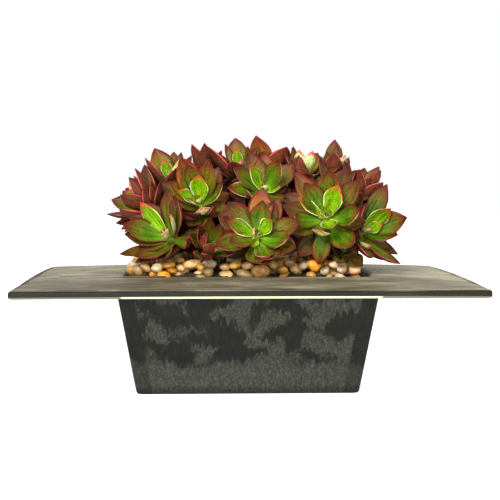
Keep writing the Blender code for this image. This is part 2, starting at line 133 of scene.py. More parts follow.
class Socket:
    """A shader value. Python's operators add Math nodes, and node adds any other node."""

    def __init__(self, tree, output=None):
        self.tree, self.output = tree, output

    def node(self, kind, values, give=0, stops=(), **settings):
        added = self.tree.nodes.new(kind)
        for name, setting in settings.items():
            setattr(added, name, setting)
        if stops:
            added.color_ramp.elements.remove(added.color_ramp.elements[-1])
        for i, (position, shade) in enumerate(stops):
            stop = added.color_ramp.elements.new(position) if i else added.color_ramp.elements[0]
            stop.position = position
            stop.color = (*shade, 1)
        for name, value in values.items():
            if isinstance(value, Socket):
                self.tree.links.new(value.output, added.inputs[name])
            else:
                added.inputs[name].default_value = value
        return Socket(self.tree, added.outputs[give])

    def maths(self, operation, *values):
        return self.node("ShaderNodeMath", dict(enumerate(values)), operation=operation)

    def __add__(self, other):
        return self.maths("ADD", self, other)

    def __sub__(self, other):
        return self.maths("SUBTRACT", self, other)

    def __rsub__(self, other):
        return self.maths("SUBTRACT", other, self)

    def __mul__(self, other):
        return self.maths("MULTIPLY", self, other)

    def __abs__(self):
        return self.maths("ABSOLUTE", self)

    __radd__ = __add__
    __rmul__ = __mul__

    def rise(self, low, high):
        """0 below low and 1 above high, or the other way round where low is the higher."""
        limits = {"Value": self, "From Min": low, "From Max": high}
        return self.node("ShaderNodeMapRange", limits, interpolation_type="SMOOTHSTEP")

    def ramp(self, *stops):
        return self.node("ShaderNodeValToRGB", {"Fac": self}, give="Color", stops=stops)

    def mix(self, first, second):
        """The first colour where this is 0, and the second where it is 1."""
        colours = {0: self, 6: first, 7: second}
        return self.node("ShaderNodeMix", colours, give=2, data_type="RGBA")

    def tinted(self, tint, share=1.0):
        """This colour multiplied by another."""
        colours = {0: share, 6: self, 7: tint}
        return self.node("ShaderNodeMix", colours, give=2, data_type="RGBA", blend_type="MULTIPLY")

    def grain(self, scale, detail=2.0, stretch=(1, 1, 1), place=None):
        """Noise with this many grains to a metre, drawn out along an axis where its stretch is under 1."""
        where = place or self.node("ShaderNodeTexCoord", {}, give="Object")
        drawn = self.node("ShaderNodeVectorMath", {0: where, 1: stretch}, operation="MULTIPLY")
        values = {"Vector": drawn, "Scale": scale, "Detail": detail}
        return self.node("ShaderNodeTexNoise", values, give=0)

    def attribute(self, name, give="Fac"):
        return self.node("ShaderNodeAttribute", {}, give=give, attribute_name=name)

    def bump(self, distance):
        return self.node("ShaderNodeBump", {"Height": self, "Distance": distance}, give="Normal")


def colour(red, green, blue):
    """A colour as seen on screen, from 0 to 255, in the linear values that a shader takes."""
    shares = (value / 255 for value in (red, green, blue))
    return tuple(s / 12.92 if s <= 0.04045 else ((s + 0.055) / 1.055) ** 2.4 for s in shares)


def finish(name, **constants):
    """A material, its shader's sockets set to constants, and a start for its patterns."""
    made = bpy.data.materials.new(name)
    made.use_nodes = True
    for socket, value in constants.items():
        made.node_tree.nodes["Principled BSDF"].inputs[socket.replace("_", " ")].default_value = value
    return made, Socket(made.node_tree)


def dress(made, **patterns):
    """Links patterns to the shader's sockets."""
    shader = made.node_tree.nodes["Principled BSDF"]
    for socket, pattern in patterns.items():
        made.node_tree.links.new(pattern.output, shader.inputs[socket.replace("_", " ")])


def add_piece(name, bm, made, replaced=()):
    """A finished piece that rides on the part's one body."""
    mesh = bpy.data.meshes.new(name)
    bm.to_mesh(mesh)
    bm.free()
    mesh.materials.append(made)
    mesh.shade_smooth()
    piece = bpy.data.objects.new(name, mesh)
    bpy.context.scene.collection.objects.link(piece)
    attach(piece, "root")
    if replaced:
        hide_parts(*replaced)
    return piece


def planter_mesh():
    crest = CORNER_HEIGHT + CROWN_RISE
    opening = body_half(CORNER_HEIGHT, WALL)
    foot = body_half(0)

    def brim(inset):
        return brim_half - Vector((inset, inset))

    def mouth(inset):
        return opening + Vector((inset, inset))

    # Half size, height, whether the ring follows the brim's bow, whether it carries the pale lower strip, and
    # how much it is edge
    rings = (
        (foot - Vector((FOOT_ROUND, FOOT_ROUND)), 0, 0, 0, 0),
        (foot - Vector((0.0006, 0.0006)), 0.0006, 0, 0, 0),
        (body_half(FOOT_ROUND), FOOT_ROUND, 0, 0, 0),
        (body_half(brim_under / 2), brim_under / 2, 0, 0, 0),
        (body_half(brim_under - 0.002), brim_under - 0.002, 0, 0, 0),
        (body_half(brim_under), brim_under + CROWN_RISE, 1, 0, 0),
        (brim(0.018), brim_under + 0.0004, 1, 0, 0),
        (brim(EDGE_ROUND), brim_under, 1, 1, 1),
        (brim(0.0002), brim_under + 0.0005, 1, 1, 1),
        (brim(0), brim_under + LOWER_STRIP, 1, 1, 1),
        (brim(0), brim_under + LOWER_STRIP + 0.0003, 1, 0, 1),
        (brim(0), CORNER_HEIGHT - 0.0028, 1, 0, 1),
        (brim(0.0005), CORNER_HEIGHT - 0.0013, 1, 0, 1),
        (brim(EDGE_ROUND), CORNER_HEIGHT - 0.00056, 1, 0, 0.75),
        (brim(0.0042), CORNER_HEIGHT, 1, 0, 0.3),
        (brim(0.008), CORNER_HEIGHT + 0.0002, 1, 0, 0),
        (brim(0.035), CORNER_HEIGHT + 0.55 * CROWN_RISE, 1, 0, 0),
        (mouth(0.004), crest, 1, 0, 0),
        (mouth(0.0018), crest - 0.0002, 1, 0, 0),
        (mouth(0.0005), crest - 0.001, 1, 0, 0),
        (mouth(0), crest - 0.003, 1, 0, 0),
        (body_half(brim_under, WALL), brim_under, 0, 0, 0),
        (body_half(FLOOR, WALL), FLOOR, 0, 0, 0),
    )
    bm = bmesh.new()
    names = ("follows_bow", "pale_lower_edge", "brim_edge")
    follows, strip_layer, edge_share = [bm.verts.layers.float.new(name) for name in names]
    loops = []
    corner_signs = ((1, 1), (-1, 1), (-1, -1), (1, -1))
    for half, height, on_brim, on_lower_strip, is_edge in rings:
        verts = [bm.verts.new((half.x * x, half.y * y, height)) for x, y in corner_signs]
        for vert in verts:
            vert[follows] = on_brim
            vert[strip_layer] = on_lower_strip
            vert[edge_share] = is_edge
        loops.append([bm.edges.new((verts[i - 1], verts[i])) for i in range(len(verts))])
    for lower, upper in itertools.pairwise(loops):
        bmesh.ops.bridge_loops(bm, edges=lower + upper)
    bmesh.ops.edgeloop_fill(bm, edges=loops[0])
    bmesh.ops.edgeloop_fill(bm, edges=loops[-1])
    level = {edge for ring in loops for edge in ring}
    corners = [edge for edge in bm.edges if edge not in level]
    bmesh.ops.bevel(
        bm, geom=corners, offset=CORNER_RADIUS, segments=4, profile=0.5, affect="EDGES", material=-1
    )
    long_edges = [
        edge
        for edge in bm.edges
        if edge.calc_length() > 4 * CORNER_RADIUS and abs(edge.verts[0].co.z - edge.verts[1].co.z) < 1e-5
    ]
    bmesh.ops.subdivide_edges(bm, edges=long_edges, cuts=96)
    for vert in bm.verts:
        x, y, z = vert.co
        vert.co.z += vert[follows] * brim_lift(x, y)
    bmesh.ops.recalc_face_normals(bm, faces=bm.faces)
    return bm


planter_bm = planter_mesh()
cast_stone, stone = finish("cast_stone", Specular_IOR_Level=0.12)
spot = stone.node("ShaderNodeTexCoord", {}, give="Object")
spot_x = stone.node("ShaderNodeSeparateXYZ", {0: spot}, give=0)
spot_y = stone.node("ShaderNodeSeparateXYZ", {0: spot}, give=1)
spot_z = stone.node("ShaderNodeSeparateXYZ", {0: spot}, give=2)
drips = stone.grain(300, 3, (1, 1, 0.16)) - 0.5
sway = stone.grain(26, 2) - 0.5
run_z = spot_z + drips * 0.024 + sway * 0.024
run = stone.node("ShaderNodeCombineXYZ", {0: spot_x + sway * 0.03 + drips * 0.004, 1: spot_y, 2: run_z})
clouds = stone.grain(40, 3, (0.8, 1, 1.3), run)
patches = clouds.rise(0.47, 0.56)
low_band = run_z.rise(0.036, 0.028)
foot_dark = spot_z.rise(0.010, 0.001)
band_x = (abs(spot_x) + (brim_under - spot_z) * TAPER + drips * 0.002).rise(0.1085, 0.1110)
light = patches.maths("MAXIMUM", patches, low_band) * (1 - band_x * (1 - low_band * 0.6))
worn = stone.grain(520, 3, (1, 1, 0.8)) - 0.5
brushed = stone.grain(420, 3, (1, 1, 0.25)) - 0.5
fine = stone.grain(1500, 3) - 0.5
tone = light * (0.44 + worn * 0.9) + fine * 0.3 + worn * 0.1 + brushed * 0.4 + 0.18 - foot_dark * 0.3
tone = tone - spot_z.rise(0.085, 0.035) * 0.15
body_colour = tone.ramp(
    (0.0, colour(13, 15, 12)),
    (0.20, colour(27, 29, 23)),
    (0.50, colour(46, 47, 40)),
    (0.75, colour(68, 68, 60)),
    (1.0, colour(94, 90, 77)),
)
streaks = stone.grain(38, 5, (0.45, 1.5, 1))
# The brim's top: a painted reflection of the white surroundings over the stone's own streaks and grain, paler
# to the right and darker towards the front.
forward = spot_y.rise(-0.035, -0.095)
top_grain = stone.grain(150, 4, (0.3, 1.5, 1))
top_reflection_tone = streaks * 0.6 + top_grain * 0.35 + fine * 0.6 - forward * 0.15 + spot_x * 0.35
top_reflection_colour = top_reflection_tone.ramp(
    (0.20, colour(70, 65, 49)),
    (0.36, colour(102, 95, 76)),
    (0.48, colour(138, 130, 107)),
    (0.66, colour(166, 158, 133)),
    (0.85, colour(184, 177, 153)),
)
scratches = stone.grain(90, 3, (0.07, 1, 4)).rise(0.56, 0.66)
side_tone = scratches * 0.4 + fine * 0.5 + streaks * 0.5
side_colour = side_tone.ramp(
    (0.1, colour(14, 15, 11)),
    (0.4, colour(25, 27, 20)),
    (0.6, colour(42, 43, 34)),
    (1.0, colour(104, 101, 82)),
)
brim_edge = stone.attribute("brim_edge")
on_brim = spot_z.rise(brim_under - 0.0015, brim_under - 0.0005)
# The brim's top takes the painted reflection, and its outer face takes the dark side colour.
brim_colour = brim_edge.rise(0.45, 0.95).mix(top_reflection_colour, side_colour)
# A pale strip along the brim's lower edge, paler in the middle than towards its ends.
pale_lower_edge = stone.attribute("pale_lower_edge").rise(0.4, 0.6)
strip_paleness = (abs(spot_x) + fine * 0.01).rise(0.1165, 0.1140) * 0.7 + 0.1
lower_strip_colour = (strip_paleness + fine * 0.4).ramp(
    (0.0, colour(60, 58, 48)), (0.3, colour(134, 124, 98)), (0.8, colour(192, 182, 152))
)
dress(
    cast_stone,
    Base_Color=pale_lower_edge.mix(on_brim.mix(body_colour, brim_colour), lower_strip_colour),
    Roughness=0.50 + fine * 0.2,
    Normal=(fine * 0.5 + worn * 0.8 + streaks * 0.8).bump(0.0007),
)
planter = add_piece("planter_casting", planter_bm, cast_stone, ["planter"])
planter.data.set_sharp_from_angle(angle=math.radians(SMOOTH_LIMIT))


# Soil: damp dark potting mix that fills the planter to just under its brim, and rises to a low mound.
# Each stem stands straight in it. The fill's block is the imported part's own, and only its mounded top shows,
# between the pebbles.

FIT_GAP = 0.0003
SOIL_TOP = 0.098
PEBBLE_EDGE_HEIGHT = 0.1165
MOUND_RISE = 0.009
MOUND_BELOW_PEBBLES = 0.0036
MOUND_CUTS = 90
CLOD = 0.0018

potting_soil, earth = finish("potting_soil", Roughness=0.95)
crumbs = earth.grain(700, 4)
dress(
    potting_soil,
    Base_Color=crumbs.ramp(
        (0.30, colour(16, 13, 10)),
        (0.55, colour(38, 29, 20)),
        (0.75, colour(76, 60, 42)),
    ),
    Normal=crumbs.bump(0.0012),
)
soil_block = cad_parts["soil"]
soil_block.data.materials.clear()
soil_block.data.materials.append(potting_soil)


def fill_half(height):
    """Half the length and depth of what fills the planter, clear of its walls."""
    return body_half(height, WALL + FIT_GAP)


def mound_height(x, y):
    """Height of the pebbles' middles: a low dome over the opening."""
    half = fill_half(CORNER_HEIGHT)
    dome = (1 - min(1, (x / half.x) ** 2)) * (1 - min(1, (y / half.y) ** 2))
    return PEBBLE_EDGE_HEIGHT + MOUND_RISE * dome


mound_bm = bmesh.new()
mound_half = fill_half(SOIL_TOP)
bmesh.ops.create_grid(mound_bm, x_segments=MOUND_CUTS, y_segments=MOUND_CUTS * 3 // 5, size=1)
for vert in mound_bm.verts:
    x, y = vert.co.x * mound_half.x, vert.co.y * mound_half.y
    clods = noise.fractal(Vector((x, y, 0)) * 260, 1.0, 2.0, 3) * CLOD
    vert.co = (x, y, mound_height(x, y) - MOUND_BELOW_PEBBLES + clods)
skirt = bmesh.ops.extrude_face_region(mound_bm, geom=list(mound_bm.faces))["geom"]
for vert in [item for item in skirt if isinstance(item, bmesh.types.BMVert)]:
    vert.co.z = SOIL_TOP + FIT_GAP
bmesh.ops.recalc_face_normals(mound_bm, faces=mound_bm.faces)
add_piece("soil_mound", mound_bm, potting_soil)


# Stems: each rosette stands on a green stem as thick as a pencil.
# It rises straight from the soil, bends over towards the light and thickens to the crown that carries
# the leaves.

STEM_RADIUS = 0.0032
STEM_GATHER = (0.74, 0.66)
STEM_FOOT = 0.072
STEM_STRAIGHT_TO = 0.128
STEM_PULL = 0.4
STEM_SIDES = 12
STEM_STEPS = 14
COARSE_STEM_SIDES = 6
COARSE_BENDS_AT = (0.35, 0.7)
CROWN_PROFILE = ((0.0, 0.0064), (0.0145, 0.0028))
CROWN_FITS_REACH = 0.043
OPEN_CROWN = ((0.0, 0.0050), (0.0062, 0.0026))


@dataclass(frozen=True)
class Rosette:
    name: str
    crown: tuple  # foot of the crown, where the stem ends
    heading: float  # degrees in plan, with -90 facing the front
    rise: float  # degrees above level
    reach: float  # length of a full leaf
    spin: float  # degrees, of the youngest leaf
    hand: int = 1  # which way the leaves follow each other round
    leaves: int = 13
    spread: float = 1.0  # under 1 for a rosette still half closed
    extra_age_and_shade: float = 0  # how much older its leaves are drawn; past full age that paints them dark, a painted shade


ROSETTES = (
    Rosette("rosette_front_middle", (0.008, -0.070, 0.152), -92, 28, 0.043, 250, leaves=15),
    Rosette("rosette_front_right", (0.075, -0.058, 0.168), -97, 22, 0.049, 335, hand=-1, leaves=17),
    Rosette("rosette_front_left", (-0.074, -0.052, 0.150), -130, 24, 0.047, 202, leaves=15),
    Rosette("rosette_low_left", (-0.038, -0.062, 0.140), -75, 30, 0.032, 0, leaves=9, spread=0.45, extra_age_and_shade=0.15),
    Rosette("rosette_low_right", (0.092, -0.058, 0.138), -85, 30, 0.028, 40, leaves=8, spread=0.45, extra_age_and_shade=0.3),
    Rosette("rosette_right", (0.110, -0.036, 0.155), -55, 18, 0.047, 34, leaves=14),
    Rosette("rosette_left_upper", (-0.046, -0.038, 0.180), -98, 38, 0.044, 85, leaves=15),
    Rosette("rosette_middle_upper", (0.018, -0.018, 0.192), -92, 42, 0.044, 60, leaves=14, spread=0.95),
    Rosette("rosette_middle_low", (-0.020, -0.020, 0.160), -95, 25, 0.036, 0, leaves=8, extra_age_and_shade=0.95),
    Rosette("rosette_left", (-0.094, -0.008, 0.176), -150, 42, 0.044, 10, leaves=12, spread=0.9),
    Rosette("rosette_left_top", (-0.073, 0.006, 0.200), -125, 66, 0.043, 85, leaves=10, spread=0.75),
    Rosette("rosette_top_left", (-0.038, 0.030, 0.208), 120, 80, 0.042, 60, leaves=10, spread=0.75),
    Rosette("rosette_top_middle", (-0.006, 0.014, 0.208), -110, 64, 0.042, 185, leaves=12, spread=0.7),
    Rosette("rosette_top_back", (0.024, 0.046, 0.208), 80, 74, 0.044, 30, leaves=9, spread=0.8),
    Rosette("rosette_top_right", (0.056, 0.008, 0.204), -60, 70, 0.040, 310, leaves=10, spread=0.75),
    Rosette("rosette_right_upper", (0.088, -0.014, 0.190), -60, 56, 0.038, 150, leaves=11, spread=0.85),
    Rosette("rosette_right_top", (0.090, 0.036, 0.205), -90, 78, 0.042, 250, leaves=10, spread=0.5),
    Rosette("rosette_right_side", (0.113, 0.004, 0.186), -30, 60, 0.042, 60, leaves=11, spread=0.7),
    Rosette("rosette_back_left", (-0.098, 0.048, 0.178), 150, 42, 0.048, 120, leaves=10),
    Rosette("rosette_back_left_inner", (-0.046, 0.074, 0.180), 104, 45, 0.050, 240, leaves=11),
    Rosette("rosette_back_right_inner", (0.014, 0.078, 0.176), 88, 40, 0.052, 15, leaves=11),
    Rosette("rosette_back_right", (0.072, 0.070, 0.178), 62, 42, 0.050, 300, leaves=11),
    Rosette("rosette_right_back", (0.114, 0.046, 0.168), 30, 34, 0.047, 170, leaves=10),
    Rosette("rosette_low_back_left", (-0.072, 0.064, 0.148), 118, 18, 0.044, 75, leaves=9),
    Rosette("rosette_low_back_right", (0.046, 0.068, 0.146), 75, 16, 0.044, 330, leaves=9),
)


def axis_of(rosette):
    heading, rise = math.radians(rosette.heading), math.radians(rosette.rise)
    level = Vector((math.cos(heading), math.sin(heading), 0))
    return level * math.cos(rise) + Vector((0, 0, math.sin(rise)))


def stem_foot(rosette):
    """Where the stem leaves the soil: under the crown, drawn in towards the middle of the opening."""
    return Vector((rosette.crown[0] * STEM_GATHER[0], rosette.crown[1] * STEM_GATHER[1], STEM_FOOT))


def crown_size(rosette):
    """A larger rosette has a larger crown."""
    return rosette.reach / CROWN_FITS_REACH


def crown_rings(rosette):
    """A rosette that the photograph shows has the low crown of an open one."""
    return OPEN_CROWN if rosette.name in SEEN else CROWN_PROFILE


def stem_line(rosette, shares):
    """Points and radii of the stem, with a point in its bend at each share of it, and the crown's rings."""
    foot, crown, axis = stem_foot(rosette), Vector(rosette.crown), axis_of(rosette)
    bend_start = Vector((foot.x, foot.y, STEM_STRAIGHT_TO))
    pull = STEM_PULL * (crown - bend_start).length
    neck = crown - axis * STEM_RADIUS
    handles = (bend_start, bend_start + Vector((0, 0, pull)), neck - axis * pull, neck)
    points, radii = [foot, bend_start], [STEM_RADIUS, STEM_RADIUS]
    for share in shares:
        keep = 1 - share
        weights = (keep**3, 3 * keep**2 * share, 3 * keep * share**2, share**3)
        points.append(sum((w * h for w, h in zip(weights, handles)), Vector()))
        radii.append(STEM_RADIUS)
    for height, radius in crown_rings(rosette):
        points.append(crown + axis * height)
        radii.append(radius * crown_size(rosette))
    return points, radii


def tube(bm, points, radii, sides):
    """A closed tube through the points."""
    loops, turn, before = [], Quaternion(), Vector((0, 0, 1))
    for i, (point, radius) in enumerate(zip(points, radii)):
        ahead = (points[min(i + 1, len(points) - 1)] - points[max(i - 1, 0)]).normalized()
        turn = before.rotation_difference(ahead) @ turn
        before = ahead
        angles = [2 * math.pi * side / sides for side in range(sides)]
        ring = [bm.verts.new(point + turn @ (radius * Vector((math.cos(a), math.sin(a), 0)))) for a in angles]
        loops.append([bm.edges.new((ring[i - 1], ring[i])) for i in range(sides)])
    for lower, upper in itertools.pairwise(loops):
        bmesh.ops.bridge_loops(bm, edges=lower + upper)
    bmesh.ops.edgeloop_fill(bm, edges=loops[0])
    bmesh.ops.edgeloop_fill(bm, edges=loops[-1])


# Leaves: thick blades that taper to a narrow foot and a sharp tip, cupped like a boat and curled up to the
# light. They follow each other round the crown by the golden angle. The youngest are bright green with cream
# edges and pale backs, and the older ones turn olive, then maroon, from the tip down, with maroon backs.
# Their margins also carry a painted highlight, some leaves a painted amber glow of light shining through
# them, and leaves past full age a painted shade.

GOLDEN_TURN = 137.5
TURN_SCATTER = 6
YOUNGEST_LEAN = 14
OLDEST_LEAN = 78
LEAST_LEAN = 6
LEAN_SCATTER = 3
OPENING_POWER = 0.6
YOUNGEST_CURL = 20
OLDEST_CURL = 38
YOUNGEST_SIZE = 0.25
FULL_GROWN_AGE = 0.6
SIZE_SCATTER = 0.05
LEAF_WIDTH = 0.49
WIDTH_POWER = 0.8
LEAF_THICK = 0.088
WIDEST_AT = 0.60
FOOT_WIDTH = 0.30
FOOT_FLARE = 1.3
TIP_POWER = 1.7
CUP = 0.34
CROWN_INNER = 0.0012
CROWN_SPREAD = 0.0026
TURNED_TO_US = (1.03, 0.26)
LEAF_GAP = 0.0005
BENDS = (0, -4, 4, -8, 8, -16, 16, -24, -32, -40)
SWEEPS = (0, 4, -4, 8, -8, 16, -16)
STUNTED_SIZES = (1, 0.9, 0.8, 0.7)
PEBBLE_TOP = 0.0066
GROUND_ON_BRIM = 0.1185
COARSE_RINGS = (0.0, 0.50, 0.80)


@dataclass(frozen=True)
class Leaf:
    foot: Vector
    axis: Vector
    outward: Vector
    lean: float  # angle of the middle of the midrib from the rosette's axis
    curl: float  # how far the leaf turns in towards the axis along its length
    length: float
    width: float
    thick: float
    age: float  # 0 for the youngest of its rosette, 1 for the oldest
    amber: float = 0  # how strongly it is painted with an amber glow of light shining through it


def width_share(along):
    """Share of the leaf's full width: a narrow foot, the widest part past the middle, and a sharp tip."""
    if along < WIDEST_AT:
        rise = math.sin(math.pi / 2 * along / WIDEST_AT) ** FOOT_FLARE
        return FOOT_WIDTH + (1 - FOOT_WIDTH) * rise
    return 1 - min(1, (along - WIDEST_AT) / (1 - WIDEST_AT)) ** TIP_POWER


def leaf_point(leaf, across, along, under):
    """Across is -1 to 1, along is 0 at the foot and 1 at the tip, and under is 1 on the keel."""
    start = leaf.lean + leaf.curl / 2
    angle = start - leaf.curl * along
    out = leaf.length * (math.cos(angle) - math.cos(start)) / leaf.curl
    up = leaf.length * (math.sin(start) - math.sin(angle)) / leaf.curl
    sideways = leaf.axis.cross(leaf.outward)
    upper = leaf.axis * math.sin(angle) - leaf.outward * math.cos(angle)
    half = leaf.width / 2 * width_share(along)
    lift = CUP * half * across**2 - under * leaf.thick * (1 - along**3)
    return leaf.foot + leaf.outward * out + leaf.axis * up + sideways * (across * half) + upper * lift


def leaf_form(rings, section):
    """A leaf's outline in its own terms: across, along and under stand for X, Y and Z."""
    bm = bmesh.new()
    loops = []
    for along in rings:
        verts = [bm.verts.new((across, along, under)) for across, under in section]
        loops.append([bm.edges.new((verts[i - 1], verts[i])) for i in range(len(verts))])
    for lower, upper in itertools.pairwise(loops):
        bmesh.ops.bridge_loops(bm, edges=lower + upper)
    bmesh.ops.edgeloop_fill(bm, edges=loops[0])
    tip = bmesh.ops.extrude_edge_only(bm, edges=loops[-1])["geom"]
    tip_verts = [item for item in tip if isinstance(item, bmesh.types.BMVert)]
    bmesh.ops.pointmerge(bm, verts=tip_verts, merge_co=Vector((0, 1, 0)))
    bmesh.ops.recalc_face_normals(bm, faces=bm.faces)
    bm.verts.index_update()
    return bm


def grown_leaves(rosette, number):
    """The rosette's leaves as they would grow with nothing in their way, from the youngest out."""
    draw = random.Random(number)
    axis = axis_of(rosette)
    side = Vector((0, 0, 1)).cross(axis).normalized()
    leaves = []
    for i in range(rosette.leaves):
        age = (i + 0.5) / rosette.leaves
        azimuth = rosette.spin + rosette.hand * i * GOLDEN_TURN + draw.uniform(-TURN_SCATTER, TURN_SCATTER)
        outward = Quaternion(axis, math.radians(azimuth)) @ side
        opening = YOUNGEST_LEAN + (OLDEST_LEAN - YOUNGEST_LEAN) * age**OPENING_POWER
        lean = math.radians(opening + draw.uniform(-LEAN_SCATTER, LEAN_SCATTER)) * rosette.spread
        curl = math.radians(YOUNGEST_CURL + (OLDEST_CURL - YOUNGEST_CURL) * age)
        grown = YOUNGEST_SIZE + (1 - YOUNGEST_SIZE) * math.sin(math.pi / 2 * min(1, age / FULL_GROWN_AGE))
        length = rosette.reach * grown * draw.uniform(1 - SIZE_SCATTER, 1 + SIZE_SCATTER)
        width = LEAF_WIDTH * rosette.reach * grown**WIDTH_POWER
        width *= draw.uniform(1 - SIZE_SCATTER, 1 + SIZE_SCATTER)
        height = crown_rings(rosette)[1][0] * (1 - age) * crown_size(rosette)
        foot = Vector(rosette.crown) + axis * height + outward * (CROWN_INNER + CROWN_SPREAD * age)
        leaves.append(Leaf(foot, axis, outward, lean, curl, length, width, LEAF_THICK * length, age))
    return leaves


def ways_to_bend(leaf):
    """The leaf as it grows, then bent, swept round or stunted more and more."""
    ways = itertools.product(BENDS, SWEEPS, STUNTED_SIZES)
    for bend, sweep, size in sorted(ways, key=lambda way: abs(way[0]) + abs(way[1]) + 100 * (1 - way[2])):
        yield replace(
            leaf,
            lean=max(math.radians(LEAST_LEAN), leaf.lean + math.radians(bend)),
            outward=Quaternion(leaf.axis, math.radians(sweep)) @ leaf.outward,
            length=leaf.length * size,
            width=leaf.width * size,
        )


def ground(x, y):
    """The lowest that a leaf may hang: over the pebbles, or over the brim."""
    half = body_half(CORNER_HEIGHT)
    if abs(x) < half.x and abs(y) < half.y:
        return mound_height(x, y) + PEBBLE_TOP
    return GROUND_ON_BRIM


class Obstacles:
    """What has grown so far, for telling whether a new leaf would cross it."""

    def __init__(self):
        self.grown = []

    @staticmethod
    def box(points):
        return [(min(axis), max(axis)) for axis in zip(*points)]

    def add(self, owner, points, faces):
        self.grown.append((owner, self.box(points), BVHTree.FromPolygons(points, faces)))

    def are_clear_of(self, owner, points, faces):
        box, tree = self.box(points), None
        for other, other_box, other_tree in self.grown:
            if other == owner or any(a[0] > b[1] or b[0] > a[1] for a, b in zip(box, other_box)):
                continue
            tree = tree or BVHTree.FromPolygons(points, faces)
            if tree.overlap(other_tree):
                return False
        return True


def roomy(leaf):
    """The leaf with a gap all round it."""
    return replace(
        leaf,
        foot=leaf.foot + leaf.axis * LEAF_GAP,
        length=leaf.length + LEAF_GAP,
        width=leaf.width + 2 * LEAF_GAP,
        thick=leaf.thick + 2 * LEAF_GAP,
    )


def either_fold(faces):
    """Triangles for both ways in which a face with four corners may fold."""
    return [corners for face in faces for corners in itertools.combinations(face, 3)]


def is_in_outline(point):
    """Whether a point falls within the dome's outline in the photograph."""
    across, down = seen_at(point)
    inside = False
    for (x0, y0), (x1, y1) in itertools.pairwise((*OUTLINE, OUTLINE[0])):
        if (y0 > down) != (y1 > down) and across < x0 + (x1 - x0) * (down - y0) / (y1 - y0):
            inside = not inside
    return inside


def hangs_free(point, shown):
    """Whether a leaf's point is over the pebbles and the brim. In front, a leaf that the photograph doesn't
    show keeps well off the pebbles."""
    above = 0 if shown or point.y > 0 else OVER_PEBBLES
    return point.z >= ground(point.x, point.y) + above


def settle(leaf, number, shown=False):
    """The nearest way to bend the leaf that crosses nothing, or None. A leaf that the photograph doesn't show
    also keeps within the dome's outline there, and off the pebbles."""
    for bent in ways_to_bend(leaf):
        around = [leaf_point(roomy(bent), *place) for place in coarse_points]
        if not all(hangs_free(point, shown) for point in around):
            continue
        if not shown and not all(is_in_outline(point) for point in around):
            continue
        if obstacles.are_clear_of(number, around, folds):
            obstacles.add(number, [leaf_point(bent, *place) for place in coarse_points], folds)
            return bent
    return None
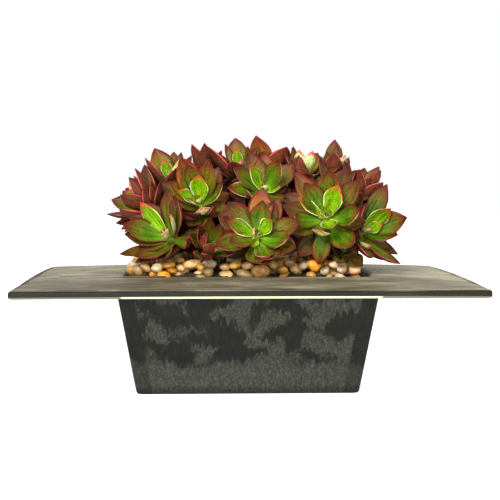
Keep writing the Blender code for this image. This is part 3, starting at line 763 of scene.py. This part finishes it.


# Leaves that the photograph shows: across and down to the tip in its pixels, the length in millimetres,
# the age, raised for some leaves to paint them darker as shade, the curl in degrees, how strong a painted
# amber glow of light shining through it is, how it leans, and how broad it is for its length. It leans
# away from the camera at 1, nearly flat to it at 0, and towards it at -1.
SEEN = {
    "rosette_front_middle": (
        (255, 229, 14, 0.00, 60), (252, 247, 15, 0.03, 60), (262, 231, 12, 0.05, 50),
        (228, 221, 33, 0.28, 25), (272, 219, 31, 0.24, 45), (263, 200, 44, 0.48, 30),
        (215, 246, 42, 0.44, 30), (268, 256, 38, 0.36, 100), (255, 262, 42, 0.60, 95),
        (289, 237, 44, 0.54, 70), (230, 201, 46, 0.66, 34, 0, 1), (263, 188, 50, 0.60, 30, 1, 1),
        (280, 198, 46, 0.66, 40, 0.4, 1), (217, 212, 46, 0.90, 40, 0, 1), (276, 258, 44, 0.85, 70),
        (296, 248, 48, 0.95, 60),
    ),
    "rosette_front_right": (
        (324, 206, 17, 0.00, 25), (329, 208, 20, 0.04, 20), (316, 212, 12, 0.02, 25),
        (298, 197, 36, 0.18, 30, 0, 0, 0.6), (338, 185, 38, 0.15, 25), (320, 230, 36, 0.42, 110),
        (295, 216, 42, 0.50, 105, 0, 0, 0.85), (360, 211, 45, 0.44, 60), (304, 182, 47, 0.42, 25),
        (330, 169, 54, 0.52, 25), (352, 246, 50, 0.60, 90), (318, 265, 48, 0.66, 70, 0, 0, 0.75),
        (364, 192, 50, 0.64, 25, 0, 1), (285, 194, 51, 0.80, 30, 0, 1), (366, 222, 50, 0.92, 30),
        (295, 172, 56, 0.80, 25, 0.3, 1, 0.75), (293, 232, 44, 0.95, 60, 0, 0, 0.7),
    ),
    "rosette_left_upper": (
        (195, 195, 19, 0.00, 20), (178, 190, 27, 0.12, 20), (200, 198, 14, 0.04, 20),
        (199, 175, 38, 0.15, 25), (203, 207, 30, 0.40, 95), (223, 183, 40, 0.36, 35),
        (187.5, 164, 48, 0.54, 22), (169, 181, 42, 0.56, 25, 0.3), (214, 205, 36, 0.70, 90, 0, 0, 0.6),
        (184, 214, 36, 0.75, 95, 0, 0, 0.8), (209.5, 160.5, 52, 0.62, 22, 0.2),
        (180, 157, 54, 0.66, 22, 0.5),
        (229, 193, 46, 0.70, 30, 0.3, 1), (160, 183, 46, 0.90, 30, 0, 1), (205, 226, 34, 1.00, 60),
        (190, 226, 34, 1.00, 60),
    ),
    "rosette_front_left": (
        (164, 228, 10, 0.02, 20), (140, 202, 42, 0.20, 20, 0, 0, 0.72),
        (169, 213, 36, 0.50, 40, 0, -1, 0.8),
        (123, 224, 47, 0.48, 30), (186, 239, 42, 0.85, 100, 0, 0, 0.7),
        (119, 254, 54, 0.90, 45, 0, 0, 0.55),
        (178, 203, 42, 0.60, 45, 1, 1, 0.7), (124, 234, 44, 0.92, 30), (139, 247, 36, 0.96, 30),
        (135, 262, 40, 0.98, 60, 0, 0, 0.6), (158, 262, 34, 0.98, 60, 0, 0, 0.7),
    ),
    "rosette_middle_upper": (
        (261, 184, 13, 0.00, 25), (281, 187, 22, 0.08, 30), (256, 186, 12, 0.03, 25),
        (249.5, 165.5, 34, 0.15, 25), (247, 189, 24, 0.42, 95), (227, 188, 40, 0.32, 30),
        (280, 160, 45, 0.40, 25), (233, 167, 42, 0.56, 25), (265, 153, 48, 0.60, 22, 0.5, 1),
        (247, 194, 36, 0.70, 60), (297, 165, 50, 0.72, 25, 0.2, 1), (249, 152, 50, 0.85, 22, 0, 1),
        (287, 183, 38, 0.95, 20, 0, 1), (292, 190, 38, 0.98, 40, 0, 1),
    ),
    "rosette_right": (
        (383, 225, 20, 0.04, 20), (366, 204, 26, 0.14, 25, 0, 0, 0.6), (376, 220, 14, 0.06, 25),
        (391, 208, 38, 0.23, 25), (372, 245, 34, 0.50, 95, 0, 0, 0.7), (398, 235, 42, 0.50, 25),
        (408, 217, 50, 0.58, 25), (401, 264, 56, 0.74, 35, 0, -1, 0.5),
        (388, 184, 52, 0.60, 22, 0, 1, 0.85),
        (399, 255, 60, 0.90, 20, 0, 1, 0.45), (393, 249, 56, 0.95, 20, 0, 1, 0.45),
    ),
    "rosette_left_top": (
        (162, 158.5, 24, 0.12, 20), (169, 161, 16, 0.08, 20), (173.5, 151.5, 38, 0.36, 20, 0, 1, 0.8),
        (154.5, 148, 46, 0.50, 20, 0.2, 1), (181, 151.5, 44, 0.85, 25, 0, 1, 0.6),
        (144.5, 157, 46, 0.85, 25, 0, -1, 0.6), (149, 168, 42, 0.90, 50),
    ),
    "rosette_left": (
        (134.5, 167.5, 50, 0.85, 20, 0, -1, 0.7), (128.5, 177, 46, 0.80, 25, 0, -1, 0.8),
        (121.5, 188.5, 28, 0.12, 20, 0, 1), (120, 194, 44, 0.80, 25, 0, -1),
        (111, 199.5, 44, 0.60, 25, 0, 1),
        (106, 214, 48, 0.85, 30, 0, 0, 0.7), (119, 208, 44, 0.70, 90), (124, 232, 42, 0.95, 30, 0, 0, 0.8),
        (133, 175, 40, 0.85, 25, 0, 0, 0.6), (151, 181, 46, 0.85, 20, 0, -1, 0.6),
        (160, 181, 48, 0.80, 20, 0, -1, 0.6), (143, 188, 42, 0.90, 25, 0, -1, 0.7),
    ),
    "rosette_top_left": (
        (192, 144, 46, 0.80, 20, 0, -1, 0.55), (204, 142.5, 46, 0.75, 20, 0, -1, 0.6),
        (198, 149, 38, 0.60, 20, 0, 1, 0.6), (210, 158, 36, 0.90, 25, 0, -1, 0.7),
    ),
    "rosette_top_middle": (
        (236.5, 147, 27, 0.14, 20, 0, 0, 0.75), (235, 137.5, 46, 0.56, 20, 0.1, 1),
        (225, 143.5, 44, 0.85, 20, 0, 1, 0.45), (207, 145.5, 56, 0.85, 15, 0, -1, 0.75),
        (222, 163, 34, 0.80, 40, 0, -1, 0.7), (248, 146, 40, 0.70, 20, 0.3, 1),
    ),
    "rosette_top_back": (
        (256, 135, 54, 0.70, 20, 0.7, -1, 0.9), (256.5, 149, 26, 0.20, 20),
        (270, 149.5, 32, 0.60, 20, 0.3, 0, 0.6),
        (287, 147, 52, 0.74, 20, 0.3, -1), (262, 154, 26, 0.40, 20, 0.5),
    ),
    "rosette_top_right": (
        (299.5, 149.5, 34, 0.14, 20, 0, 0), (313, 150.5, 36, 0.16, 20, 0, 0, 0.8),
        (318, 152.5, 38, 0.58, 25, 0.5, 1), (290, 147.5, 44, 0.90, 15, 0, 1, 0.4),
        (293.5, 145.5, 44, 0.90, 15, 0, 1, 0.4), (303, 162, 30, 0.85, 60), (325, 160, 36, 0.80, 30, 0, 1),
        (317, 174, 22, 0.14, 40), (310, 172, 30, 0.80, 60),
    ),
    "rosette_right_top": (
        (335, 139, 50, 0.60, 20, 0.2, 1, 0.8), (337, 144, 46, 0.90, 20, 0, 1, 0.6),
        (345.5, 154.5, 32, 0.14, 20, 0, 0, 0.8), (349.5, 156.5, 36, 0.70, 20, 0.2, 1, 0.5),
        (327, 151, 40, 0.85, 25, 0, 1, 0.7), (341, 157, 36, 0.60, 20, 0.6, 1, 0.6),
    ),
    "rosette_right_upper": (
        (343.5, 169, 32, 0.66, 20, 0.2, 1), (353, 184, 34, 0.85, 60, 0, -1),
        (351, 178, 30, 0.80, 30, 0, -1),
        (327, 168, 34, 0.60, 20, 0.3, 1),
    ),
    "rosette_low_right": (
        (359, 256, 32, 0.70, 30, 0.3), (363, 266, 36, 0.80, 40), (350, 229, 32, 0.70, 20),
        (330, 240, 28, 0.70, 30), (338, 262, 26, 0.80, 60), (350, 246, 22, 0.60, 30),
        (336, 232, 26, 0.60, 30),
    ),
    "rosette_low_left": (
        (199, 227, 34, 0.80, 40, 0, -1, 0.8), (208, 233, 34, 0.80, 50, 0, -1, 0.8),
        (212, 243, 34, 0.85, 60, 0, -1, 0.8), (190, 234, 32, 0.85, 40, 0, -1, 0.8),
        (208, 254, 32, 0.85, 70, 0, -1, 0.8), (196, 255, 34, 0.85, 60, 0, -1, 0.8),
        (203, 238, 28, 0.75, 50, 0, -1),
    ),
    "rosette_right_side": (
        (358.5, 172, 24, 0.22, 20, 0, 0, 0.8), (364.5, 167.5, 40, 0.66, 20, 0.2, 1),
        (379.5, 166.5, 46, 0.66, 20, 0.2, 1, 0.7), (381, 170, 46, 0.85, 20, 0, -1, 0.6),
        (383, 182, 42, 0.85, 25, 0, -1, 0.8), (371, 177, 36, 0.80, 25, 0, -1, 0.7),
    ),
}
OWN_ROOM = 0.42  # radians round the axis, or of lean, between a leaf that shows and one that doesn't
HIDDEN_AGE = 0.85
HEART_AGE = 0.3
OVER_PEBBLES = 0.008

# The dome's outline in the photograph, clockwise from its lower left, in its pixels
OUTLINE = (
    (122, 268), (119, 252), (138, 247), (139, 240), (122, 233), (106, 215), (106, 213), (118, 208),
        (111, 199),
    (120, 193), (122, 188), (128, 186), (129, 177), (133, 175), (134, 168), (142, 171), (145, 157),
        (151, 160),
    (155, 148), (167, 156), (174, 152), (178, 155), (181, 152), (189, 162), (192, 144), (197, 149),
        (204, 143),
    (207, 146), (219, 155), (225, 144), (229, 153), (235, 138), (246, 149), (256, 135), (264, 150),
        (270, 149),
    (275, 154), (287, 147), (293, 146), (297, 152), (300, 150), (306, 156), (314, 151), (319, 153),
        (324, 155),
    (330, 150), (335, 139), (341, 157), (346, 155), (350, 158), (351, 169), (364, 168), (379, 167),
        (381, 171),
    (377, 183), (388, 185), (386, 203), (391, 209), (407, 217), (399, 233), (389, 242), (392, 249),
        (399, 255),
    (400, 263), (380, 268),
)


def leaf_seen(rosette, across, down, length, age, curl, amber=0, away=0, breadth=1):
    """A leaf whose tip the photograph shows, from its place there and its length."""
    axis, length, curl = axis_of(rosette), length / 1000, math.radians(curl)
    base = Vector(rosette.crown) + axis * crown_rings(rosette)[1][0] * (1 - age) * crown_size(rosette)
    sight = line_of_sight(across, down)
    straight = math.sin(curl / 2) / (curl / 2)
    flat = TURNED_TO_US[0] + TURNED_TO_US[1] * (1 - age) ** 2
    foot = base
    for _ in range(3):
        nearest = camera.location + sight * (foot - camera.location).dot(sight)
        aside = (nearest - foot).length
        chord = length * straight
        if curl < 1 and away > -1:
            chord = min(chord, aside * flat)
        depth = math.sqrt(max(0, chord**2 - aside**2)) * (1 if away == 1 else -1)
        reach = (nearest + sight * depth - foot).normalized()
        outward = (reach - axis * reach.dot(axis)).normalized()
        foot = base + outward * (CROWN_INNER + CROWN_SPREAD * age)
    lean = reach.angle(axis)
    width = breadth * LEAF_WIDTH * length**WIDTH_POWER * rosette.reach ** (1 - WIDTH_POWER)
    length = chord / straight
    return Leaf(foot, axis, outward, lean, curl, length, width, LEAF_THICK * length, age, amber)


def unseen_leaves(rosette, number, seen):
    """The leaves that grow where the photograph shows none of them."""
    def is_apart(leaf, other):
        return leaf.outward.angle(other.outward) > OWN_ROOM or abs(leaf.lean - other.lean) > OWN_ROOM

    def in_shade(leaf):
        return replace(leaf, age=max(leaf.age, HIDDEN_AGE)) if seen and leaf.age > HEART_AGE else leaf

    leaves = [leaf for leaf in grown_leaves(rosette, number) if all(is_apart(leaf, other) for other in seen)]
    return [in_shade(leaf) for leaf in leaves]


coarse_bm = leaf_form(COARSE_RINGS, ((-1, 0), (0, 0), (1, 0), (0, 1)))
coarse_points = [tuple(vert.co) for vert in coarse_bm.verts]
folds = either_fold([[vert.index for vert in face.verts] for face in coarse_bm.faces])
coarse_bm.free()
obstacles = Obstacles()
for number, rosette in enumerate(ROSETTES):
    stem_bm = bmesh.new()
    tube(stem_bm, *stem_line(rosette, COARSE_BENDS_AT), COARSE_STEM_SIDES)
    stem_bm.verts.index_update()
    stem_faces = [[vert.index for vert in face.verts] for face in stem_bm.faces]
    obstacles.add(number, [vert.co.copy() for vert in stem_bm.verts], either_fold(stem_faces))
    stem_bm.free()
settled = [[] for _ in ROSETTES]
for shown in (True, False):
    wanted = []
    for number, rosette in enumerate(ROSETTES):
        seen = [leaf_seen(rosette, *leaf) for leaf in SEEN.get(rosette.name, ())]
        wanted.append(seen if shown else unseen_leaves(rosette, number, seen))
    for i in range(max(len(leaves) for leaves in wanted)):
        for number, leaves in enumerate(wanted):
            if i < len(leaves):
                settled[number].append(settle(leaves[i], number, shown))

# Hearts: the bud leaves in the middle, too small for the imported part, and the oldest leaves under the
# rosette, which droop on the stem and close the gaps to the neighbours.

BUD_SIZES = (0.24, 0.19, 0.14)
BUD_LEAN = 9
BUD_BREADTH = 0.62
BUD_THICK = 0.16
# Ages of the drooping leaves under the rosette: past full age they are painted dark, a painted shade.
DROOP = (1.0, 1.08, 1.16, 1.24, 1.32, 1.42, 1.52, 1.62)
DROOP_LEAN = 42
DROOP_DOWN = 0.020
DROOP_LENGTH = (0.98, 0.42)

for number, rosette in enumerate(ROSETTES):
    draw = random.Random(1000 + number)
    oldest = grown_leaves(rosette, number)[-1]
    for i, droop_age_and_shade in enumerate(DROOP):
        turn = rosette.hand * (i + 1) * GOLDEN_TURN + draw.uniform(-10, 10)
        beyond = droop_age_and_shade - 1
        shrink = DROOP_LENGTH[0] - DROOP_LENGTH[1] * beyond
        leaf = replace(
            oldest,
            foot=oldest.foot - oldest.axis * DROOP_DOWN * (beyond + 0.05),
            outward=Quaternion(oldest.axis, math.radians(turn)) @ oldest.outward,
            lean=oldest.lean + math.radians(DROOP_LEAN * (beyond + 0.05) + draw.uniform(-4, 4)),
            length=oldest.length * shrink,
            width=oldest.width * shrink,
            thick=oldest.thick * shrink,
            age=droop_age_and_shade,
        )
        settled[number].append(settle(leaf, number))

# Blades: every leaf is one thick closed blade, bent to its place. Its finish reads how far along
# it a point lies, how near its margin, which side it is on, and how old the leaf is; past full age that
# age stands for painted shade.

FINE_RINGS = (0, 0.14, 0.30, 0.46, 0.60, 0.74, 0.86, 0.95)
UPPER_ACROSS = (-1, -0.6, 0, 0.6, 1)
LOWER_ACROSS = (0.92, 0.35, -0.35, -0.92)
EDGE_THICK = 0.24
KEEL_POWER = 2.2
WOBBLE = 0.0007
NOISE_SEED = 5

noise.seed_set(NOISE_SEED)  # without it, noise_vector differs from run to run

fine_section = [(across, 0) for across in UPPER_ACROSS]
fine_section += [(across, 1 - (1 - EDGE_THICK) * abs(across) ** KEEL_POWER) for across in LOWER_ACROSS]
fine_bm = leaf_form(FINE_RINGS, fine_section)
fine_leaf = bpy.data.meshes.new("leaf_form")
fine_bm.to_mesh(fine_leaf)
fine_bm.free()

succulent_leaf, blade = finish("succulent_leaf", Specular_IOR_Level=0.14)
along, across = blade.attribute("along"), blade.attribute("across")
under, age = blade.attribute("under"), blade.attribute("age")
woody, amber = blade.attribute("woody"), blade.attribute("amber")
leaf_seed = blade.attribute("leaf_seed")
margin = abs(across)
on_leaf = blade.node("ShaderNodeCombineXYZ", {0: across * 0.010, 1: along * 0.012, 2: leaf_seed})
veins = blade.grain(420, 2, (1, 0.35, 1), on_leaf) - 0.5
speck = blade.grain(1300, 2) - 0.5
blotch = blade.grain(170, 3) - 0.5
outer = margin * margin * margin * 0.20
reach = along + outer + speck * 0.20 + blotch * 0.30 + veins * 0.20
# The leaf's age with some noise; past full age it also stands for painted shade.
ripening_and_shade = age + blotch * 0.16
young_face = reach.ramp(
    (0.0, colour(156, 180, 14)),
    (0.30, colour(108, 150, 1)),
    (0.72, colour(90, 136, 1)),
    (0.88, colour(118, 124, 8)),
    (0.96, colour(186, 60, 36)),
    (1.0, colour(186, 36, 34)),
)
grown_face = reach.ramp(
    (0.0, colour(122, 156, 4)),
    (0.22, colour(74, 116, 2)),
    (0.44, colour(60, 92, 3)),
    (0.62, colour(76, 86, 8)),
    (0.78, colour(86, 68, 14)),
    (0.92, colour(86, 40, 14)),
    (1.0, colour(74, 14, 10)),
)
old_face = reach.ramp(
    (0.0, colour(78, 108, 6)),
    (0.30, colour(70, 86, 8)),
    (0.58, colour(82, 76, 14)),
    (0.82, colour(82, 52, 16)),
    (1.0, colour(68, 22, 14)),
)
# A painted amber glow of light shining through the leaf.
glow_face = reach.ramp(
    (0.0, colour(122, 130, 10)),
    (0.35, colour(140, 112, 10)),
    (0.65, colour(144, 96, 12)),
    (0.85, colour(122, 56, 14)),
    (1.0, colour(96, 28, 14)),
)
face = ripening_and_shade.rise(0.20, 0.34).mix(young_face, grown_face)
face = ripening_and_shade.rise(0.58, 0.85).mix(face, old_face)
face = (amber * 0.85).mix(face, glow_face)
# Upper margins: the margin's own cream or red, brightened on young leaves with a painted highlight.
young_margin_and_highlight = reach.ramp(
    (0.0, colour(204, 222, 120)),
    (0.55, colour(240, 240, 180)),
    (0.86, colour(236, 206, 150)),
    (0.95, colour(226, 50, 56)),
)
old_edge = reach.ramp((0.0, colour(150, 150, 60)), (0.3, colour(140, 70, 46)), (0.6, colour(104, 20, 24)))
margin_and_highlight_colour = ripening_and_shade.rise(0.24, 0.42).mix(young_margin_and_highlight, old_edge)
upper_side = (margin.rise(0.84, 0.95) * 0.9).mix(face, margin_and_highlight_colour)
young_back = reach.ramp(
    (0.0, colour(160, 194, 70)),
    (0.5, colour(180, 206, 110)),
    (0.85, colour(200, 206, 140)),
    (0.97, colour(196, 56, 58)),
)
old_back = reach.ramp(
    (0.0, colour(104, 128, 50)),
    (0.24, colour(96, 90, 42)),
    (0.45, colour(108, 68, 40)),
    (0.75, colour(102, 52, 34)),
    (1.0, colour(78, 24, 18)),
)
back = ripening_and_shade.rise(0.42, 0.70).mix(young_back, old_back)
back = (amber * 0.85).mix(back, glow_face)
# Back margins: the margin's own pale or red colour with a painted pink highlight along the edge.
back_margin_and_highlight = ripening_and_shade.rise(0.35, 0.65).mix((*colour(240, 222, 180), 1), (*colour(196, 88, 84), 1))
lower_side = (margin.rise(0.86, 0.98) * 0.85).mix(back, back_margin_and_highlight)
leaf_colour = under.rise(0.06, 0.18).mix(upper_side, lower_side)
grained = speck * 1.6 + veins * 1.2 + blotch * 0.6 + 0.5
mottled = grained.ramp((0.2, (0.35, 0.32, 0.30)), (0.5, (0.88, 0.88, 0.86)), (0.8, (1.45, 1.42, 1.35)))
leaf_colour = leaf_colour.tinted(mottled)
# Past full age a leaf is painted dark brown: painted shade under and between the rosettes.
leaf_colour = ripening_and_shade.rise(1.05, 1.35).mix(leaf_colour, (*colour(46, 26, 16), 1))
bark = reach.ramp((0.0, colour(76, 58, 36)), (0.6, colour(78, 80, 34)), (1.0, colour(100, 122, 38)))
dress(
    succulent_leaf,
    Base_Color=woody.rise(0.4, 0.6).mix(leaf_colour, bark),
    Roughness=0.42 + speck * 0.25,
    Normal=(speck + veins * 1.2 + blotch * 1.0).bump(0.0003),
)


def rosette_mesh(rosette, leaves, number):
    """The stem with its crown, and every leaf in its place, with what the finish reads at each point."""
    bm = bmesh.new()
    names = ("along", "across", "under", "age", "amber", "woody", "leaf_seed")
    layers = {name: bm.verts.layers.float.new(name) for name in names}
    shares = [step / STEM_STEPS for step in range(1, STEM_STEPS)]
    points, radii = stem_line(rosette, shares)
    tube(bm, points, radii, STEM_SIDES)
    for vert in bm.verts:
        vert[layers["woody"]] = 1
        vert[layers["along"]] = (vert.co.z - STEM_STRAIGHT_TO) / (rosette.crown[2] - STEM_STRAIGHT_TO)
    draw = random.Random(2000 + number)
    for leaf in leaves:
        before = len(bm.verts)
        bm.from_mesh(fine_leaf)
        bm.verts.ensure_lookup_table()
        seed = draw.uniform(0, 10)
        for vert in bm.verts[before:]:
            across, along, under = vert.co
            point = leaf_point(leaf, across, along, under)
            wave = noise.noise_vector(point * 60 + Vector((seed * 9, 0, 0))) * WOBBLE * along
            vert.co = point + wave
            vert.co.z = min(vert.co.z, cad_high.z)
            vert[layers["along"]] = along
            vert[layers["across"]] = across
            vert[layers["under"]] = under
            vert[layers["age"]] = leaf.age + rosette.extra_age_and_shade
            vert[layers["amber"]] = leaf.amber
            vert[layers["leaf_seed"]] = seed
    bmesh.ops.recalc_face_normals(bm, faces=bm.faces)
    return bm


for number, rosette in enumerate(ROSETTES):
    draw = random.Random(3000 + number)
    leaves = [leaf for leaf in settled[number] if leaf]
    first = grown_leaves(rosette, number)[0]
    for i, size in enumerate(BUD_SIZES):
        turn = Quaternion(first.axis, math.radians(-rosette.hand * (i + 1) * GOLDEN_TURN))
        leaves.append(
            replace(
                first,
                foot=Vector(rosette.crown) + first.axis * (crown_rings(rosette)[1][0] * crown_size(rosette)),
                outward=turn @ first.outward,
                lean=math.radians(BUD_LEAN),
                length=rosette.reach * size,
                width=rosette.reach * size * BUD_BREADTH,
                thick=rosette.reach * size * BUD_THICK,
                age=0,
            )
        )
    piece = rosette_mesh(rosette, leaves, number)
    add_piece(rosette.name + "_plant", piece, succulent_leaf, [rosette.name])


# Pebbles: tumbled river stones, tan, cream, amber and grey, poured over the soil after planting, two or three
# deep. Each was dropped where it could roll lowest, so they lie as they fell, each with its own tint and
# grain.

PEBBLE_HALF = (0.0052, 0.0108)
PEBBLE_BREADTH = (0.68, 0.92)
PEBBLE_HEIGHT = (0.52, 0.78)
PEBBLE_TRIES = 3000
PEBBLE_CHOICES = 5
PEBBLE_BED = 0.0085
PEBBLE_HEAP = 0.0115
PEBBLE_PACKS = 0.86
PEBBLE_RIGHT_END = 0.1125
PEBBLE_SEED = 12
PEBBLE_LUMPS = 0.32
PEBBLE_TILT = 0.45
PEBBLE_TINTS = (
    colour(222, 182, 124),
    colour(238, 200, 140),
    colour(240, 166, 40),
    colour(200, 156, 84),
    colour(176, 146, 92),
    colour(206, 188, 156),
    colour(180, 136, 60),
    colour(150, 126, 84),
    colour(240, 190, 96),
    colour(214, 162, 72),
)

pebble_stone, grit = finish("pebble_stone", Roughness=0.35)
tint = grit.attribute("tint", "Color")
mottle = grit.grain(260, 4)
dust = grit.grain(1800, 2)
shade = (mottle + (dust - 0.5) * 0.5).ramp(
    (0.25, (0.28, 0.22, 0.14)), (0.45, (0.72, 0.67, 0.56)), (0.75, (0.96, 0.93, 0.85))
)
dress(
    pebble_stone,
    Base_Color=tint.tinted(shade),
    Roughness=0.30 + mottle * 0.3,
    Normal=(mottle + dust * 0.3).bump(0.0005),
)

stone_bm = bmesh.new()
bmesh.ops.create_icosphere(stone_bm, subdivisions=2, radius=1)
stone_form = bpy.data.meshes.new("stone_form")
stone_bm.to_mesh(stone_form)
stone_bm.free()


@dataclass
class Pebble:
    x: float
    y: float
    z: float
    half: tuple
    reach: float


def rest_height(pebbles, x, y, half, reach):
    """Where a dropped pebble comes to rest: on the bed, or on the stones that it meets."""
    z = mound_height(x, y) - PEBBLE_BED + half[2]
    for other in pebbles:
        apart = math.hypot(x - other.x, y - other.y) / ((reach + other.reach) * PEBBLE_PACKS)
        if apart < 1:
            z = max(z, other.z + (half[2] + other.half[2]) * math.sqrt(1 - apart**2))
    return z


def poured_pebbles():
    draw = random.Random(PEBBLE_SEED)
    feet = [stem_foot(rosette) for rosette in ROSETTES]
    pebbles = []
    for _ in range(PEBBLE_TRIES):
        length = draw.uniform(*PEBBLE_HALF)
        half = (length, length * draw.uniform(*PEBBLE_BREADTH), length * draw.uniform(*PEBBLE_HEIGHT))
        reach = (half[0] + half[1]) / 2
        room = fill_half(CORNER_HEIGHT)
        spots = []
        for _ in range(PEBBLE_CHOICES):
            x = draw.uniform(reach - room.x, PEBBLE_RIGHT_END - reach)
            y = draw.uniform(PEBBLE_PACKS * reach - room.y, room.y - PEBBLE_PACKS * reach)
            if all(math.hypot(x - foot.x, y - foot.y) > STEM_RADIUS + reach for foot in feet):
                spots.append((rest_height(pebbles, x, y, half, reach), x, y))
        if not spots:
            continue
        z, x, y = min(spots)
        if z + half[2] < mound_height(x, y) + PEBBLE_HEAP:
            pebbles.append(Pebble(x, y, z, half, reach))
    return pebbles


pebble_bm = bmesh.new()
tint_layer = pebble_bm.verts.layers.float_color.new("tint")
draw = random.Random(PEBBLE_SEED + 1)
for pebble in poured_pebbles():
    spin = Matrix.Rotation(draw.uniform(0, math.pi), 3, "Z")
    tilts = [Matrix.Rotation(draw.uniform(-PEBBLE_TILT, PEBBLE_TILT), 3, axis) for axis in "XY"]
    before = len(pebble_bm.verts)
    pebble_bm.from_mesh(stone_form)
    pebble_bm.verts.ensure_lookup_table()
    seed = draw.uniform(0, 90)
    its_tint = draw.choice(PEBBLE_TINTS)
    for vert in pebble_bm.verts[before:]:
        ball = vert.co.copy()
        broad = noise.noise(ball * 0.8 + Vector((seed * 7.3, 0, 0)))
        narrow = noise.noise(ball * 2.0 + Vector((0, seed * 3.1, 0)))
        shape = ball * (1 + PEBBLE_LUMPS * (broad + 0.5 * narrow))
        stretched = Vector((shape.x * pebble.half[0], shape.y * pebble.half[1], shape.z * pebble.half[2]))
        vert.co = Vector((pebble.x, pebble.y, pebble.z)) + spin @ (tilts[0] @ tilts[1]) @ stretched
        vert[tint_layer] = (*its_tint, 1)
bmesh.ops.recalc_face_normals(pebble_bm, faces=pebble_bm.faces)
add_piece("river_pebbles", pebble_bm, pebble_stone, ["pebble_bed"])


# Litter: crumbs of soil and grit that fell on the brim at planting, and a thin dry twig along the front of
# the opening. Nothing holds them: each lies on the stone.

CRUMBS = (
    (84, 270.5, 0.8), (104.5, 268, 1.2), (116, 266.8, 1.0), (117, 274, 0.8), (120, 276, 0.9), (119, 271, 0.6),
    (374, 270, 1.0), (378, 271, 0.8), (381, 269.5, 1.1), (385, 270, 0.7), (370, 272, 0.6), (389, 272, 0.5),
)
CRUMB_PER_METRE = (1000, 1300, 1400)  # along X, Y and Z, for a size given as half its length in millimetres
TWIG = ((122, 0.2), (134, 0.7), (147, 0.4), (158, 0.6), (166, 0.2))
TWIG_RADIUS = 0.0008

dry_litter, husk = finish("dry_litter", Roughness=0.9)
dress(dry_litter, Base_Color=husk.grain(900, 3).ramp((0.3, colour(38, 24, 16)), (0.7, colour(104, 76, 50))))
litter_bm = bmesh.new()
casting = BVHTree.FromPolygons(
    [vert.co for vert in planter.data.vertices], [face.vertices for face in planter.data.polygons]
)
for across, down, size in CRUMBS:
    place = casting.ray_cast(camera.location, line_of_sight(across, down))[0]
    if place:
        squash = Matrix.Diagonal((*(size / per_metre for per_metre in CRUMB_PER_METRE), 1))
        lies = Matrix.Translation(place) @ squash
        bmesh.ops.create_icosphere(litter_bm, subdivisions=1, radius=1, matrix=lies)
for vert in litter_bm.verts:
    vert.co += noise.noise_vector(vert.co * 900) * 0.0003
twig_y = -body_half(CORNER_HEIGHT, WALL).y - 0.0012
twig_points = []
for across, above in TWIG:
    sight = line_of_sight(across, 276)
    x = camera.location.x + sight.x * (twig_y - camera.location.y) / sight.y
    z = CORNER_HEIGHT + CROWN_RISE + brim_lift(x, twig_y) + above / 1000
    twig_points.append(Vector((x, twig_y, z)))
tube(litter_bm, twig_points, [TWIG_RADIUS] * len(twig_points), 6)
bmesh.ops.recalc_face_normals(litter_bm, faces=litter_bm.faces)
add_piece("litter", litter_bm, dry_litter)


# Studio: a plain white floor and soft light from large boxes in front and above.

FLOOR_SIZE = 6.0
floor_bm = bmesh.new()
bmesh.ops.create_grid(floor_bm, x_segments=1, y_segments=1, size=FLOOR_SIZE)
floor_mesh = bpy.data.meshes.new("studio_floor")
floor_bm.to_mesh(floor_mesh)
floor_bm.free()
floor_white, _ = finish(
    "floor_white",
    Base_Color=(0.7, 0.7, 0.7, 1),
    Roughness=0.9,
    Emission_Color=(1, 1, 1, 1),
    Emission_Strength=0.75,
)
floor_mesh.materials.append(floor_white)
studio_floor = bpy.data.objects.new("studio_floor", floor_mesh)
bpy.context.scene.collection.objects.link(studio_floor)

world = bpy.data.worlds.new("studio")
bpy.context.scene.world = world
world.use_nodes = True
world.node_tree.nodes["Background"].inputs["Color"].default_value = (1, 1, 1, 1)
world.node_tree.nodes["Background"].inputs["Strength"].default_value = 1.0


def soft_box(name, place, aim, size, watts):
    light = bpy.data.lights.new(name, "AREA")
    light.energy, light.size = watts, size
    box = bpy.data.objects.new(name, light)
    box.location = place
    box.rotation_euler = (Vector(aim) - Vector(place)).to_track_quat("-Z", "Y").to_euler()
    bpy.context.scene.collection.objects.link(box)


DOME_MIDDLE = (0, 0, 0.16)
soft_box("key_box", (-0.6, -1.6, 1.1), DOME_MIDDLE, 0.6, 62)
soft_box("fill_box", (0.6, -1.8, 0.4), DOME_MIDDLE, 0.8, 12)
